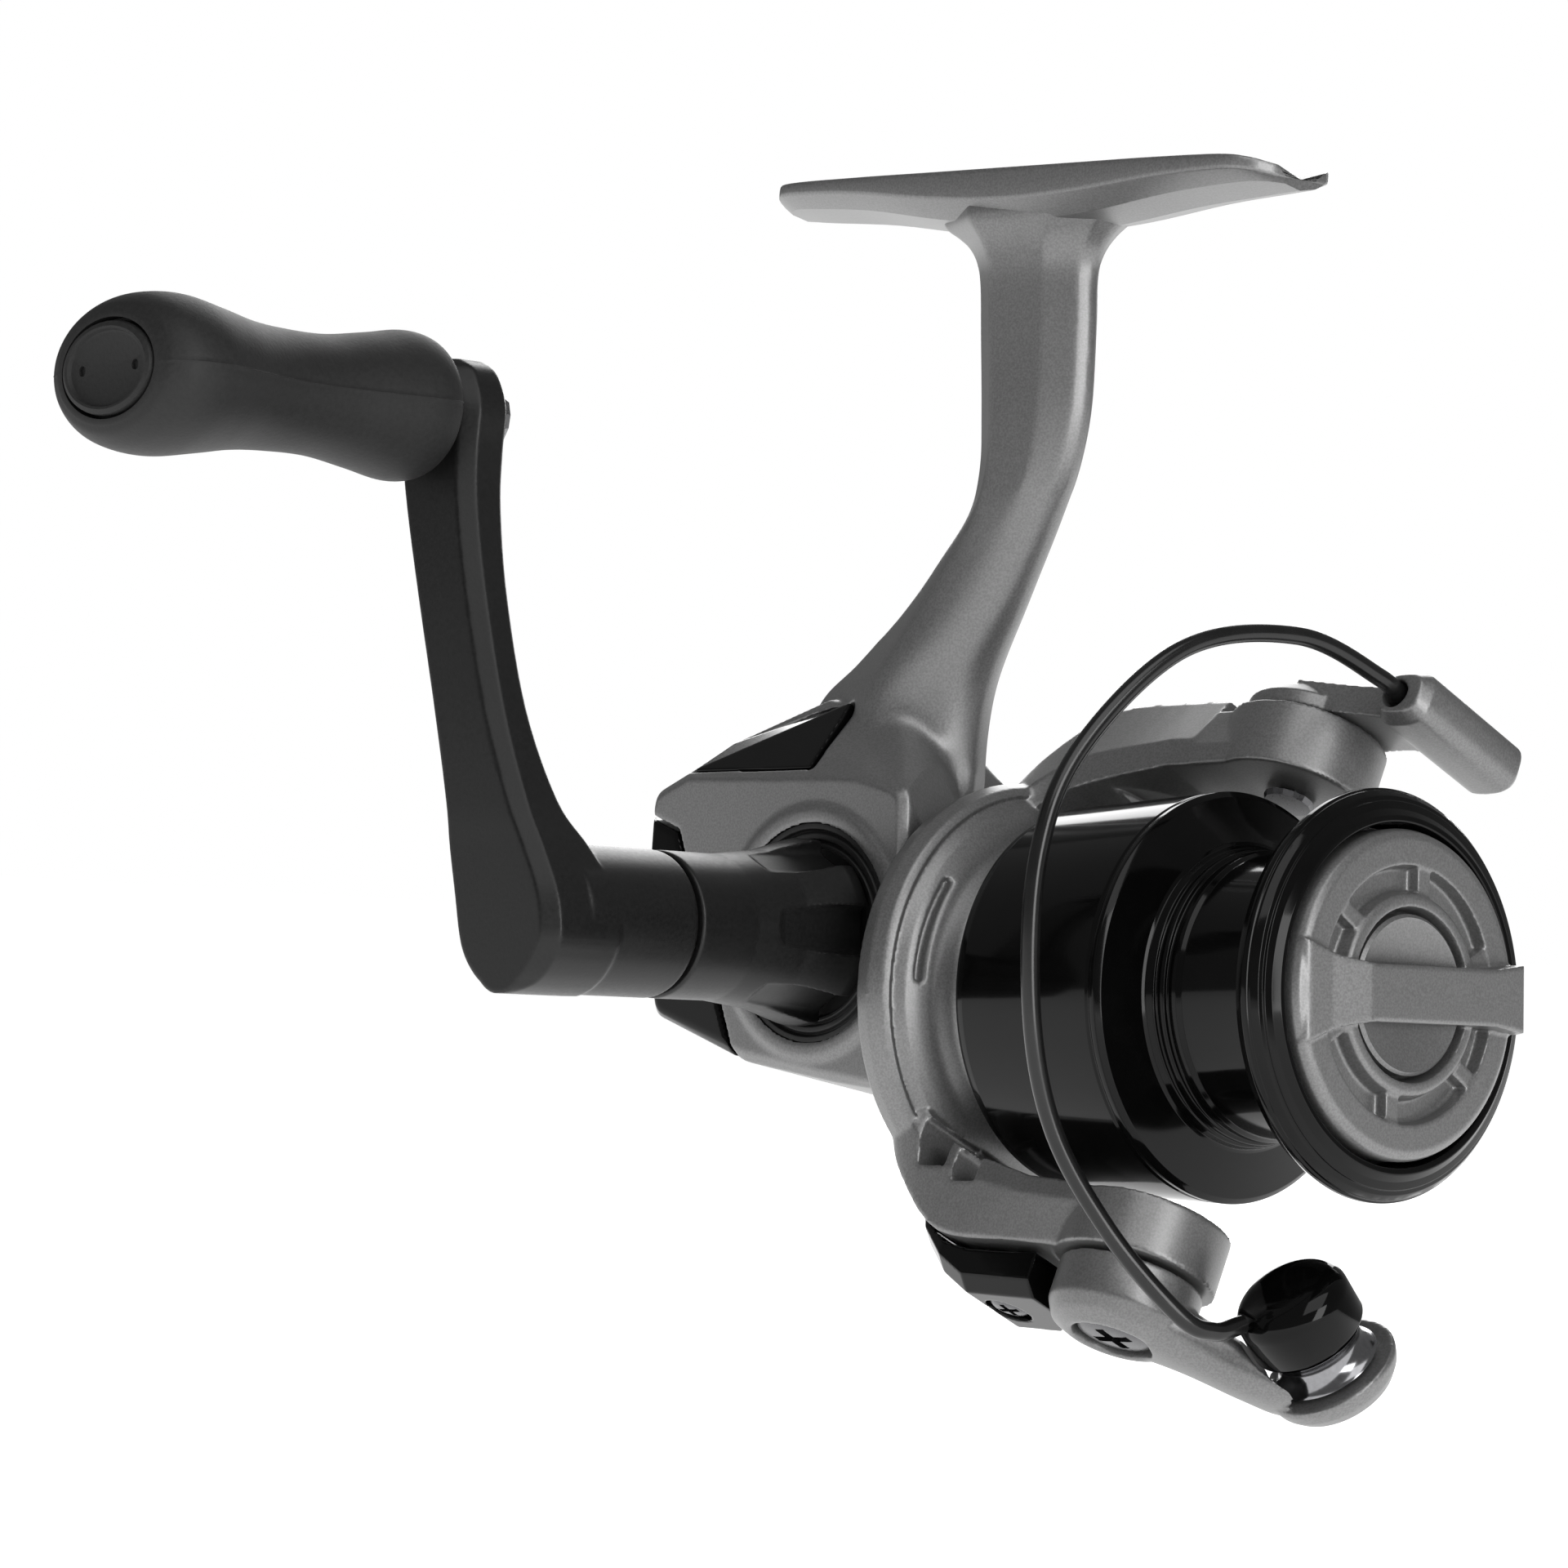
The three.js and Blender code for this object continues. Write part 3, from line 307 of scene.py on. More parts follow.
def noise_at(nodes, links, scale, detail=3.0):
    place = nodes.new("ShaderNodeTexCoord")
    noise = nodes.new("ShaderNodeTexNoise")
    noise.inputs["Scale"].default_value = scale
    noise.inputs["Detail"].default_value = detail
    links.new(place.outputs["Object"], noise.inputs["Vector"])
    return noise


def tinted(nodes, links, source, shader, dark, light, low=0.3, high=0.7, socket="Base Color"):
    ramp = nodes.new("ShaderNodeValToRGB")
    ramp.color_ramp.elements[0].position = low
    ramp.color_ramp.elements[1].position = high
    ramp.color_ramp.elements[0].color = (*dark, 1)
    ramp.color_ramp.elements[1].color = (*light, 1)
    links.new(source, ramp.inputs["Fac"])
    links.new(ramp.outputs["Color"], shader.inputs[socket])


def ranged(nodes, links, source, shader, socket, low, high):
    span = nodes.new("ShaderNodeMapRange")
    span.inputs["To Min"].default_value = low
    span.inputs["To Max"].default_value = high
    links.new(source, span.inputs["Value"])
    links.new(span.outputs["Result"], shader.inputs[socket])


def bumped(nodes, links, source, shader, strength, distance):
    bump = nodes.new("ShaderNodeBump")
    bump.inputs["Strength"].default_value = strength
    bump.inputs["Distance"].default_value = distance
    links.new(source, bump.inputs["Height"])
    links.new(bump.outputs["Normal"], shader.inputs["Normal"])


def metallic_paint(name, grey, metallic, roughness, flake=0.25):
    """Paint with fine metal flakes."""
    material, nodes, links, shader = new_finish(name)
    fine = noise_at(nodes, links, 5200, 2)
    tinted(nodes, links, fine.outputs["Fac"], shader, [grey * (1 - flake)] * 3, [grey * (1 + flake)] * 3,
           0.35, 0.65)
    ranged(nodes, links, fine.outputs["Fac"], shader, "Roughness", roughness - 0.08, roughness + 0.08)
    bumped(nodes, links, fine.outputs["Fac"], shader, 0.25, 0.00003)
    constant(shader, Metallic=metallic, Coat_Weight=0.15, Coat_Roughness=0.3)
    return material


def gloss(name, grey, metallic, roughness, specular):
    """Hard gloss with a faint unevenness."""
    material, nodes, links, shader = new_finish(name)
    wave = noise_at(nodes, links, 260, 3)
    tinted(nodes, links, wave.outputs["Fac"], shader, [grey * 0.8] * 3, [grey * 1.2] * 3)
    ranged(nodes, links, wave.outputs["Fac"], shader, "Roughness", roughness * 0.8, roughness * 1.3)
    constant(shader, Metallic=metallic, Specular_IOR_Level=specular)
    return material


def grained(name, grey, roughness, scale, strength, specular=0.4):
    """Matte surface with a fine grain."""
    material, nodes, links, shader = new_finish(name)
    grain = noise_at(nodes, links, scale, 6)
    tinted(nodes, links, grain.outputs["Fac"], shader, [grey * 0.75] * 3, [grey * 1.25] * 3)
    ranged(nodes, links, grain.outputs["Fac"], shader, "Roughness", roughness - 0.08, roughness + 0.08)
    bumped(nodes, links, grain.outputs["Fac"], shader, strength, 0.00008)
    constant(shader, Specular_IOR_Level=specular)
    return material


def machined(name, colour, roughness):
    """Bare metal with fine tool marks."""
    material, nodes, links, shader = new_finish(name)
    marks = noise_at(nodes, links, 2400, 4)
    dark = [c * 0.85 for c in colour]
    tinted(nodes, links, marks.outputs["Fac"], shader, dark, colour)
    ranged(nodes, links, marks.outputs["Fac"], shader, "Roughness", roughness * 0.8, roughness * 1.25)
    constant(shader, Metallic=1.0)
    return material


FINISH = {
    "silver_paint": metallic_paint("silver_paint", 0.2, 0.7, 0.4, 0.14),
    "black_gloss": gloss("black_gloss", 0.002, 0.0, 0.07, 0.2),
    "spool_black": gloss("spool_black", 0.002, 0.0, 0.09, 0.2),
    "handle_black": grained("handle_black", 0.007, 0.4, 3000, 0.1, 0.35),
    "grip_rubber": grained("grip_rubber", 0.012, 0.6, 2600, 0.3, 0.35),
    "chrome_metal": machined("chrome_metal", (0.3, 0.3, 0.31), 0.16),
    "steel": machined("steel", (0.14, 0.14, 0.145), 0.28),
    "wire_black": gloss("wire_black", 0.01, 0.3, 0.2, 0.6),
    "brass": machined("brass", (0.6, 0.43, 0.18), 0.3),
    "gear_alloy": machined("gear_alloy", (0.55, 0.55, 0.56), 0.38),
    "seal_rubber": grained("seal_rubber", 0.006, 0.5, 2600, 0.2, 0.4),
    "drag_felt": grained("drag_felt", 0.25, 0.9, 1800, 0.8, 0.2),
}

# ------------------------------------------------------------ body, stem and foot
BODY_SIDE = [
    (-21.2, -1.2), (-9, -5.6), (2, -7.4), (BODY_FRONT, -8.6), (BODY_FRONT, 8), (BODY_FRONT, 18.5),
    (6, 20.2), (0, 20.6), (-17, 21), (-21.6, 19.2), (-22.6, 8),
]
BODY_RIDGE = [
    (-21.8, -1.8), (-9, -6.4), (2, -8.6), (BODY_FRONT, -10), (BODY_FRONT, 8), (8.8, 21.4),
    (4.4, 25.8), (-5, 27.6), (-16.5, 24.4), (-23.4, 21), (-24, 8),
]
FAR_SIDE_CHANGES = {5: (5.4, 18.2), 6: (2.4, 20)}
FAR_RIDGE_CHANGES = {4: (BODY_FRONT, 14.6), 5: (5.2, 18.6), 6: (3.6, 23.6)}
BODY_CENTRE = Vector((-4, 7))


def changed(outline, changes):
    return [changes.get(k, p) for k, p in enumerate(outline)]


def shrunk(outline, by):
    made = []
    for p in outline:
        away = Vector(p) - BODY_CENTRE
        made.append(tuple(BODY_CENTRE + away * (1 - by / away.length)))
    return made


def body_shell(y0, y1):
    far_side, far_ridge = changed(BODY_SIDE, FAR_SIDE_CHANGES), changed(BODY_RIDGE, FAR_RIDGE_CHANGES)
    rings = [
        (shrunk(BODY_SIDE, 0.9), NEAR_FACE), (BODY_SIDE, NEAR_FACE + 0.8), (BODY_RIDGE, -5), (far_ridge, 5),
        (far_side, COVER_FACE - 0.8), (shrunk(far_side, 0.9), COVER_FACE),
    ]
    whole = loft([[(x, y, z) for x, z in fillet(outline, 1.6)] for outline, y in rings])
    return common(whole, block(-60, 60, y0, y1, -60, 90))


# Stem stations: height, rear x, front x, half thickness, crest place as a share of the half length.
STEM = [
    (18, -11.5, 8.4, 7.4, 0.3), (24, -10.6, 9.2, 7.2, 0.25), (28, -8.4, 10.2, 6.6, 0.15),
    (31, -4.2, 11.6, 5.9, 0), (35, 0.4, 14.2, 4.8, -0.2), (40, 5.2, 17.1, 4, -0.34),
    (44, 8.9, 19.1, 3.7, -0.42), (48, 10.1, 21, 3.5, -0.46), (53, 10.2, 22.3, 3.5, -0.48),
    (60, 10, 22.8, 3.5, -0.5), (64.6, 9.9, 22.9, 3.6, -0.5), (66.6, 9.6, 23.6, 3.9, -0.5),
    (68, 8.9, 24.9, 4.5, -0.48), (69, 7.8, 26.4, 5.2, -0.45), (70, 6.4, 28, 5.8, -0.42),
    (71.4, 5.8, 28.6, 5.8, -0.4),
]


def stem_section(half_u, half_v, crest):
    """Flat faces behind and ahead of a crest line on both sides, rounded at the front."""
    u, v = half_u, half_v
    near = [(-u, -0.42 * v), (crest * u, -v), (0.4 * u, -0.8 * v), (0.85 * u, -0.4 * v), (u, 0)]
    far = [(x, -y) for x, y in reversed(near[:-1])]
    return fillet(near + far, 1.0)


def stem():
    rings = []
    for z, rear, front, half, crest in spline(STEM, 6):
        rings.append([((rear + front) / 2 + u, v, z)
                      for u, v in stem_section((front - rear) / 2, half, crest)])
    return loft(rings)


# Foot stations: x share, half width share, edge height, side thickness, middle thickness.
FOOT = [
    (-1, 0.5, 1.1, 1.1, 1), (-0.96, 0.78, 1.6, 1.2, 1.1), (-0.88, 0.94, 1.9, 1.3, 1.3),
    (-0.6, 1, 2, 1.7, 1.9), (-0.28, 1, 2, 2.6, 3.1), (0, 1, 2, 3, 3.6), (0.3, 1, 2, 2.7, 3.1),
    (0.62, 1, 2, 1.9, 1.9), (0.86, 0.96, 1.9, 1.5, 1.3), (0.95, 0.8, 1.6, 1.3, 1.1), (1, 0.5, 1.1, 1.1, 1),
]
FOOT_HALF = 30.5
FOOT_HALF_WIDTH = 6.5


def foot():
    rings = []
    for x, w, edge, side, middle in spline(FOOT, 5):
        y = FOOT_HALF_WIDTH * w
        flat = min(2.5, y * 0.6)
        low = edge - side
        under = (low - middle) * 0.62
        rings.append([(x * FOOT_HALF, a, b) for a, b in fillet([
            (-y, edge), (-flat, 0), (flat, 0), (y, edge), (y, low), (y * 0.62, under), (0, -middle),
            (-y * 0.62, under), (-y, low)], 0.45)])
    made = loft(rings)
    made.data.transform(Matrix.Translation(SEAT) @ Matrix.Rotation(PITCH, 4, "Y"))
    return made


def rear_wedge(clear):
    return plate([(-40, -30), (-7.4 + clear, -12), (-17.6 + clear, 15.8 + clear), (-23.4, 18 + clear),
                  (-40, 18 + clear)], -30, 30)


def shoulder_block(side, grow):
    depth = 1.1 + grow
    rings = []
    for x, far in ((-16.9 - grow, 0), (-1.6 + grow, 1)):
        low, high = Vector((-10.9, 21 - 0.4 * far)), Vector((-5.3, 24.15 + 3.2 * far))
        along = (high - low).normalized()
        out = Vector((-along.y, along.x))
        reach = (high - low).length
        corners = [(0.35 - grow, 0.12), (reach - 0.4 + grow, 0.12), (reach - 0.4 + grow, -depth),
                   (0.35 - grow, -depth)]
        flat = [low + along * a + out * b for a, b in corners]
        rings.append([(x, -side * p.x, p.y) for p in flat])
    return loft(rings)


def gear_room():
    outline = [(-13, -2), (-8, -4.4), (-1, -6), (11.2, -6), (11.2, 15), (7, 17.3), (-7, 17.3), (-13, 14)]
    return plate(outline, -8.4, 40)


def blended_root(obj):
    """Smooths the meeting of the stem and the body more than the rest of the casting."""
    root = obj.vertex_groups.new(name="root")
    for vertex in obj.data.vertices:
        x, _, z = vertex.co
        weight = min(1, (z - 20.5) / 3, (x + 1.5) / 5, (BODY_FRONT - 1 - x) / 2 if z < 24 else 1,
                     (46 - z) / 8)
        if weight > 0:
            root.add([vertex.index], weight, "REPLACE")
    blend = obj.modifiers.new("blend", "SMOOTH")
    blend.factor = 1
    blend.iterations = 120
    blend.vertex_group = "root"
    return bake(obj)


def frame_shell():
    far_top = common(body_shell(FAR_FACE - 0.1, 30), block(-40, 40, 0, 30, COVER_TOP + GAP, 60))
    near_stem = cut(stem(), block(-60, 60, FAR_FACE, 60, -60, COVER_TOP + GAP))
    nose = cut(rod(15, 11.3, 14.6, segments=128), block(-60, 60, FAR_FACE, 60, -60, 60))
    collar = turned([(NEAR_FACE - 0.35, 9.9), (NEAR_FACE - 0.35, 11.2), (NEAR_FACE, 11.6),
                     (NEAR_FACE + 2, 11.6), (NEAR_FACE + 2, 9.7), (NEAR_FACE, 9.7)], 128,
                    about_y(0, DRIVE_Z), ring=True)
    made = join(body_shell(-30, FAR_FACE), far_top, near_stem, nose, collar)
    made = cut(made, rod(10.3, NEAR_FACE - 0.1, NEAR_FACE + 2, about_y(0, DRIVE_Z), 128),
               rod(5.15, -10.4, -8, about_y(0, DRIVE_Z)), gear_room(), rod(9.1, 13.1, 15.6),
               rod(4.15, 10, 14),
               rear_wedge(0), shoulder_block(-1, GAP), shoulder_block(1, GAP),
               rod(SCREW_BORE, -20, -11, Matrix.Translation((0, 0, REAR_SCREW_Z))))
    for x, z in SIDE_SCREWS:
        made = cut(made, rod(SCREW_BORE, FAR_FACE - 5.4, FAR_FACE + 1, about_y(x, z), 24))
    return blended_root(soften(made, 0.22, 5))


def side_cover():
    outer = common(body_shell(FAR_FACE + GAP, 30), block(-60, 60, 0, 60, -60, COVER_TOP))
    inner = plate([(-12, 1), (-6, -1.6), (7, -3.2), (7, 13.6), (-12, 15)], FAR_FACE - 1, COVER_FACE - 1.6)
    boss = turned([(FAR_FACE - 2, 5.15), (FAR_FACE - 2, 6.2), (COVER_FACE - 1.5, 6.2),
                   (COVER_FACE - 1.5, 5.15)], 64,
                  about_y(0, DRIVE_Z), ring=True)
    made = join(cut(outer, rear_wedge(0), inner), boss,
                rod(1.2, OSC.y - 0.6, COVER_FACE - 1.5, about_y(OSC.x, OSC.z)))
    for x, z in SIDE_SCREWS:
        made = cut(made, rod(1.95, COVER_FACE - 1.1, COVER_FACE + 2, about_y(x, z), 32),
                   rod(SCREW_BORE, FAR_FACE - 1, COVER_FACE + 1, about_y(x, z), 24))
    return soften(made, 0.2, 3)


def rear_cover():
    made = common(body_shell(-40, 40), rear_wedge(-GAP))
    hollow = plate([(-20.6, 0.2), (-6, -4.6), (-10, 9), (-19.6, 9.8)], -9.6, 9.4)
    place = Matrix.Translation((0, 0, REAR_SCREW_Z))
    return soften(cut(made, hollow, rod(SCREW_BORE, -30, -10, place), rod(2.1, -30, -22.4, place)), 0.2, 4)


# ------------------------------------------------------------ handle
def port_seal():
    top = NEAR_FACE - 0.1
    rings = [(top + 1.7, 3.5), (top + 1.7, 9.9), (top, 9.9), (top, 9.35), (top + 0.5, 9.15),
             (top + 0.1, 8.9), (top + 0.1, 8.45), (top + 0.6, 8.25), (top + 0.2, 8), (top + 0.2, 7.7),
             (top + 0.7, 7.5), (top + 0.7, 3.5)]
    return turned(rings, 160, about_y(0, DRIVE_Z), radius=0.12, ring=True)


def handle_sleeve():
    made = turned([(-31.1, 3.05), (-31.1, 6.35), (-30.9, 6.5), (-24.5, 6.5), (-19, 7.1), (-14, 8.4),
                   (-12.9, 8.4), (-12.4, 8), (-12.4, 3.05)], 160, about_y(), radius=0.25, ring=True)
    flutes = 6
    for k in range(flutes):
        rings = []
        for y, half, floor in ((-23.6, 1.2, 7.1), (-21.6, 2, 6.6), (-13.2, 2.1, 6.9), (-11, 2.1, 6.9)):
            rings.append([(x, y, z) for x, z in fillet([(-half, floor), (half, floor), (half + 0.5, 12),
                                                         (-half - 0.5, 12)], 0.7)])
        scoop = loft(rings)
        scoop.data.transform(Matrix.Rotation(2 * math.pi * (k + 0.5) / flutes, 4, "Y"))
        made = cut(made, scoop)
    made.data.transform(Matrix.Translation((0, 0, DRIVE_Z)))
    return soften(made, 0.14, 3)


# Arm stations from hub to knob: z, centre x, half width, outer y, inner y.
HUB_R = 6.7
HUB_END = [(DRIVE_Z - HUB_R * math.cos(a), 0, HUB_R * math.sin(a), -49, -40)
           for a in (0.14, 0.3, 0.5, 0.75, 1.05, 1.35)]
ARM = [
    *HUB_END, (DRIVE_Z + 2, -0.6, 6.6, -49, -40.2),
    (12, -2, 6, -49, -41.6), (16, -3.4, 5.2, -49, -43.4), (24, -6.1, 4.5, -48.8, -44.2),
    (34, -9.2, 4.4, -48.3, -43.8), (42, -11.6, 4.6, -47.6, -42.8), (47, -12.7, 4.9, -47, -42),
    (51, -12.8, 4.9, -46.6, -41.6), (54, -12.8, 3.6, -46.3, -41.6), (55.2, -12.8, 1.9, -46, -41.9),
]


def handle_arm():
    rings = []
    for z, cx, half, out, inn in spline(ARM, 6):
        b, c = min(1.3, half * 0.35), 0.9
        outline = [(cx - half, inn - c), (cx - half, out + b), (cx - half + b, out), (cx + half - b, out),
                   (cx + half, out + b), (cx + half, inn - c), (cx + half - c, inn), (cx - half + c, inn)]
        rings.append([(x, y, z) for x, y in outline])
    collar = turned([(-44, 0), (-44, 6.5), (-31.9, 6.5), (-31.4, 6.1), (-31.4, 0)], 160,
                    about_y(0, DRIVE_Z))
    made = join(loft(rings), collar)
    made = cut(made, rod(3.2, -46, -30, about_y(0, DRIVE_Z)),
               rod(2.4, -50, -39, about_y(KNOB_AT.x, KNOB_AT.z)))
    return soften(made, 0.18, 3)


KNOB_IN = -47.7
KNOB_OUT = -82.4
# Grip stations along Y: place, half size in X, half size in Z.
KNOB = [
    (KNOB_OUT, 6.9, 4.7), (-81.8, 8.2, 5.7), (-80, 9.5, 6.6), (-77, 9.7, 6.9), (-73, 8.5, 6.3),
    (-69, 7.1, 5.6), (-65, 6.2, 5.3), (-60, 6, 5.3), (-55, 6.6, 6), (-51.5, 7, 6.6), (-49.4, 6.7, 6.4),
    (-48.2, 5.9, 5.6), (KNOB_IN, 4.6, 4.4),
]


def grip_section(half_x, half_z):
    """Oval with the fine raised parting line that a two-part mould leaves on both sides."""
    made = []
    count, ridge = 96, 0.07
    for k in range(count):
        a = 2 * math.pi * k / count
        lift = ridge if k % (count // 2) == 0 else 0
        made.append(((half_x + lift) * math.cos(a), half_z * math.sin(a)))
        if k % (count // 2) in (0, count // 2 - 1):
            side = 0.09 / half_z
            shift = side if k % (count // 2) == 0 else 2 * math.pi / count - side
            made.append((half_x * math.cos(a + shift), half_z * math.sin(a + shift)))
    return made


def knob_grip():
    made = loft([[(x, y, z) for x, z in grip_section(hx, hz)] for y, hx, hz in spline(KNOB, 7)])
    seat = loft([[(x, y, z) for x, z in oval(6.3, 4.3)] for y in (-83, -81.2)])
    made = cut(made, rod(2.55, -80, -40, about_y()), seat, rod(3.6, -82, -79.6, about_y()))
    made.data.transform(Matrix.Translation((KNOB_AT.x, 0, KNOB_AT.z)))
    return made


def knob_cap():
    rows = [(-82.3, 0.02, 0.02), (-82.3, 4.7, 2.9), (-82.4, 5, 3.15), (-82.7, 5.2, 3.3), (-82.75, 5.5, 3.5),
            (-82.6, 5.9, 3.9), (-82.3, 6, 4), (-81.5, 6, 4)]
    made = loft([[(x, y, z) for x, z in oval(hx, hz)] for y, hx, hz in rows])
    for x in (-3.6, 3.6):
        made = cut(made, rod(0.45, -84, -82, about_y(x, 0), 24))
    made.data.transform(Matrix.Translation((KNOB_AT.x, 0, KNOB_AT.z)))
    return made


# ------------------------------------------------------------ rotor
# Rotor arm stations: x, inner d, outer d, half width inside, half width outside.
LOWER_ARM = [
    (12.6, 12, 16.6, 9.6, 7.6), (15.2, 13, 20.6, 9.4, 7.4), (20.4, 17.4, 25.2, 7.4, 6),
    (30, 20.2, 25.9, 6.8, 5.6), (36, 20.8, 26.3, 6.8, 5.6), (40, 21.4, 26.3, 6.6, 5.6),
]
UPPER_ARM = [
    (12.6, -12, -16.8, 9.6, 7.6), (15.2, -13, -22, 9, 6.4), (20, -17.4, -26.8, 7.4, 4.6),
    (30, -19.6, -27.6, 6.8, 3.8), (32.4, -19.6, -27.4, 6.8, 4), (32.8, -19.6, -25.6, 6.8, 5.4),
    (40, -19.8, -25.6, 6.6, 5.4),
]


def rotor_arm(stations, grow=0.0):
    rings = []
    curved = 4
    for x, inner, outer, half, top in [*spline(stations[:curved], 5), *stations[curved:]]:
        outer, half, top = outer + grow, half + grow, top + grow
        shoulder = inner + (outer - inner) * 0.3
        rings.append([arm_point(x, t, d) for t, d in [
            (-half, inner), (-half - 0.2, shoulder), (-top, outer), (top, outer), (half + 0.2, shoulder),
            (half, inner)]])
    return loft(rings)


def arc_slot(r0, r1, x0, x1, start, end):
    """A curved slot about the spool axis, angles in degrees from -Y towards +Z."""
    rings = []
    for k in range(33):
        a = math.radians(start + (end - start) * k / 32)
        y, z = -math.cos(a), math.sin(a)
        rings.append([(x, r * y, r * z) for x, r in ((x0, r0), (x1, r0), (x1, r1), (x0, r1))])
    return loft(rings)


def rotor_shell():
    """Cup, both arms and their pivot ears, with the slot and two pockets seen beside the spool."""
    bore = 2.45
    cup = turned([(12.3, 15.8), (12.3, 17.4), (13.2, 19), (14.8, 19.4), (16.2, 19), (16.7, 18.3),
                  (16.2, 18), (16.6, 17.6), (17.2, 17), (17.7, 16), (18.3, 14.6), (19.4, 13.2), (21, 12.6),
                  (33, 12.4), (33, 11.2), (20.6, 11.2), (19.6, 10.4), (19.6, bore), (15.6, bore),
                  (15.6, 15.8)], 192, ring=True)
    arms = cut(join(rotor_arm(LOWER_ARM), rotor_arm(UPPER_ARM)), rod(15.8, 10, 15.6, segments=128))
    ears = [rod(7.1, 21.2, 26.3, on_arm(BAIL_X), 96), rod(7.1, -25.6, -19.7, on_arm(BAIL_X), 96)]
    made = join(cup, arms, *ears)
    well = cut(rod(19.2, 23, 60, segments=192), rod(13, 0, 60, segments=128))
    holes = [rod(PIVOT_BORE, -40, -15, on_arm(BAIL_X)), rod(PIVOT_BORE, 15, 40, on_arm(BAIL_X))]
    made = cut(made, well, *holes, rod(COVER_SCREW_BORE, 22, 30, on_arm(COVER_SCREW_X)))
    made = cut(made, arc_slot(15.5, 16.2, 16.9, 18.6, 4, 40))
    for x0, x1, t0, t1, d0, d1 in ((17.4, 20.4, 1.5, 9, 15.6, 19.8), (21.4, 24.2, 2.2, 8, 18, 21)):
        made = cut(made, loft([[arm_point(x, t, d) for t, d in ((t0, d0), (t1, d0), (t1, d1), (t0, d1))]
                               for x in (x0, x1)]))
    return soften(made, 0.2, 4)


def arm_cover():
    rows = [(14, 20.4, 21.6, 2.6), (17.2, 23.1, 25.4, 4.4), (20.6, 25.8, 28.2, 5), (24, 26.5, 30, 5),
            (32.2, 26.7, 30.4, 5)]
    made = loft([[arm_point(x, t, d) for t, d in [
        (-half, inner), (-half, outer - 1.2), (-half + 1.4, outer), (half - 1.4, outer),
        (half, outer - 1.2), (half, inner)]] for x, inner, outer, half in rows])
    corner = loft([[arm_point(BAIL_X + x, t, d)
                    for x, t in [(-5, 0.9), (-5, -8), (-13.4, -8), (-11.9, -5.6)]]
                   for d in (27.6, 34)])
    return soften(cut(made, rod(6.6, 20, 40, on_arm(BAIL_X)), rod(2.1, 29, 40, on_arm(COVER_SCREW_X)),
                      rod(COVER_SCREW_BORE, 20, 40, on_arm(COVER_SCREW_X)),
                      corner, rotor_arm(LOWER_ARM, GAP)), 0.14, 4)


# ------------------------------------------------------------ spool and drag
def spool():
    profile = [
        (23, 16.1), (23, 16.75), (24, 16.95), (39.2, 17.72), (39.5, 17.6), (39.8, 17.75), (40.3, 17.8),
        (40.7, 17.3), (41.7, 13.4), (41.9, 13.1), (42.6, 12.9), (42.7, 12.6), (43.1, 12.6), (43.2, 12.8),
        (43.6, 12.7), (43.7, 12.35), (44.1, 12.35), (44.2, 12.55), (44.8, 12.5), (45.2, 12.2), (51.4, 12.2),
        (52, 12.6), (55.6, 17), (56.6, 17.5), (57.1, 17.5), (57.2, 17.3), (57.4, 17.3), (57.5, 17.2),
        (57.9, 16.8), (58, 16.4), (58.2, 16.4), (58.4, 15.7), (58.9, 15.1), (58.9, 14.5), (54.3, 14.5),
        (54.3, 8.7), (46, 8.7), (46, 1.65), (35.2, 1.65), (35.2, 4.5), (39.4, 4.5), (39.6, 15.6),
        (38.6, 16.3)]
    return turned(profile, 256, radius=0.22, ring=True)


def drag_bar():
    """Grip bar across the knob: flared at one end, sloping down into the rim there."""
    half = fillet([(-13.4, 4.4), (-9.6, 2.9), (-6.4, 2.4), (9, 2.4), (13.6, 3)], 2, 4, closed=False)
    plan = half + [(y, -z) for y, z in reversed(half)]
    shape = loft([[(x, y, z) for y, z in plan] for x in (58.4, 62)])
    top = fillet([(58.4, -13.3), (60, -13.3), (60.6, -10.6), (61.9, -7), (61.9, 12.8), (60.6, 13.6),
                  (58.4, 13.6)], 0.8)
    return common(shape, loft([[(x, y, z) for x, y in top] for z in (-8, 8)]))


def drag_knob():
    """Knob face with a ribbed groove, a raised ring and the grip bar, open for the button."""
    base = 54.6
    made = turned([(base, 5), (base, 13.4), (55.2, 13.95), (59, 14), (59.6, 13.75), (59.9, 13.2),
                   (59.9, 10.9), (58.6, 10.7), (58.6, 8.8), (60, 8.5), (60.2, 8.2), (60.2, 7.4),
                   (58.2, 7.1), (58.2, 5)], 192, ring=True)
    ribs = 6
    for k in range(ribs):
        rib = loft([[(x, y, z) for y, z in [(8.2, -1), (11.5, -0.4), (11.5, 1.2), (8.2, 0.6)]]
                    for x in (58.3, 59.8)])
        rib.data.transform(Matrix.Rotation(2 * math.pi * (k + 0.3) / ribs, 4, "X"))
        made = join(made, rib)
    made = join(made, drag_bar())
    return soften(cut(made, rod(5, 50, 60.4, segments=96), rod(7.1, 58.3, 60.4, segments=96)), 0.15, 3)


def drag_button():
    dish = [(57.6, 0), (57.6, 4.7), (58.5, 4.7), (58.5, 6.8), (59.75, 6.8), (60, 6.5), (59.9, 6.2)]
    dish += [(59.1 + 0.8 * (r / 6) ** 2, r) for r in (5.6, 5, 4, 3, 2, 1, 0)]
    return turned(dish, 128)


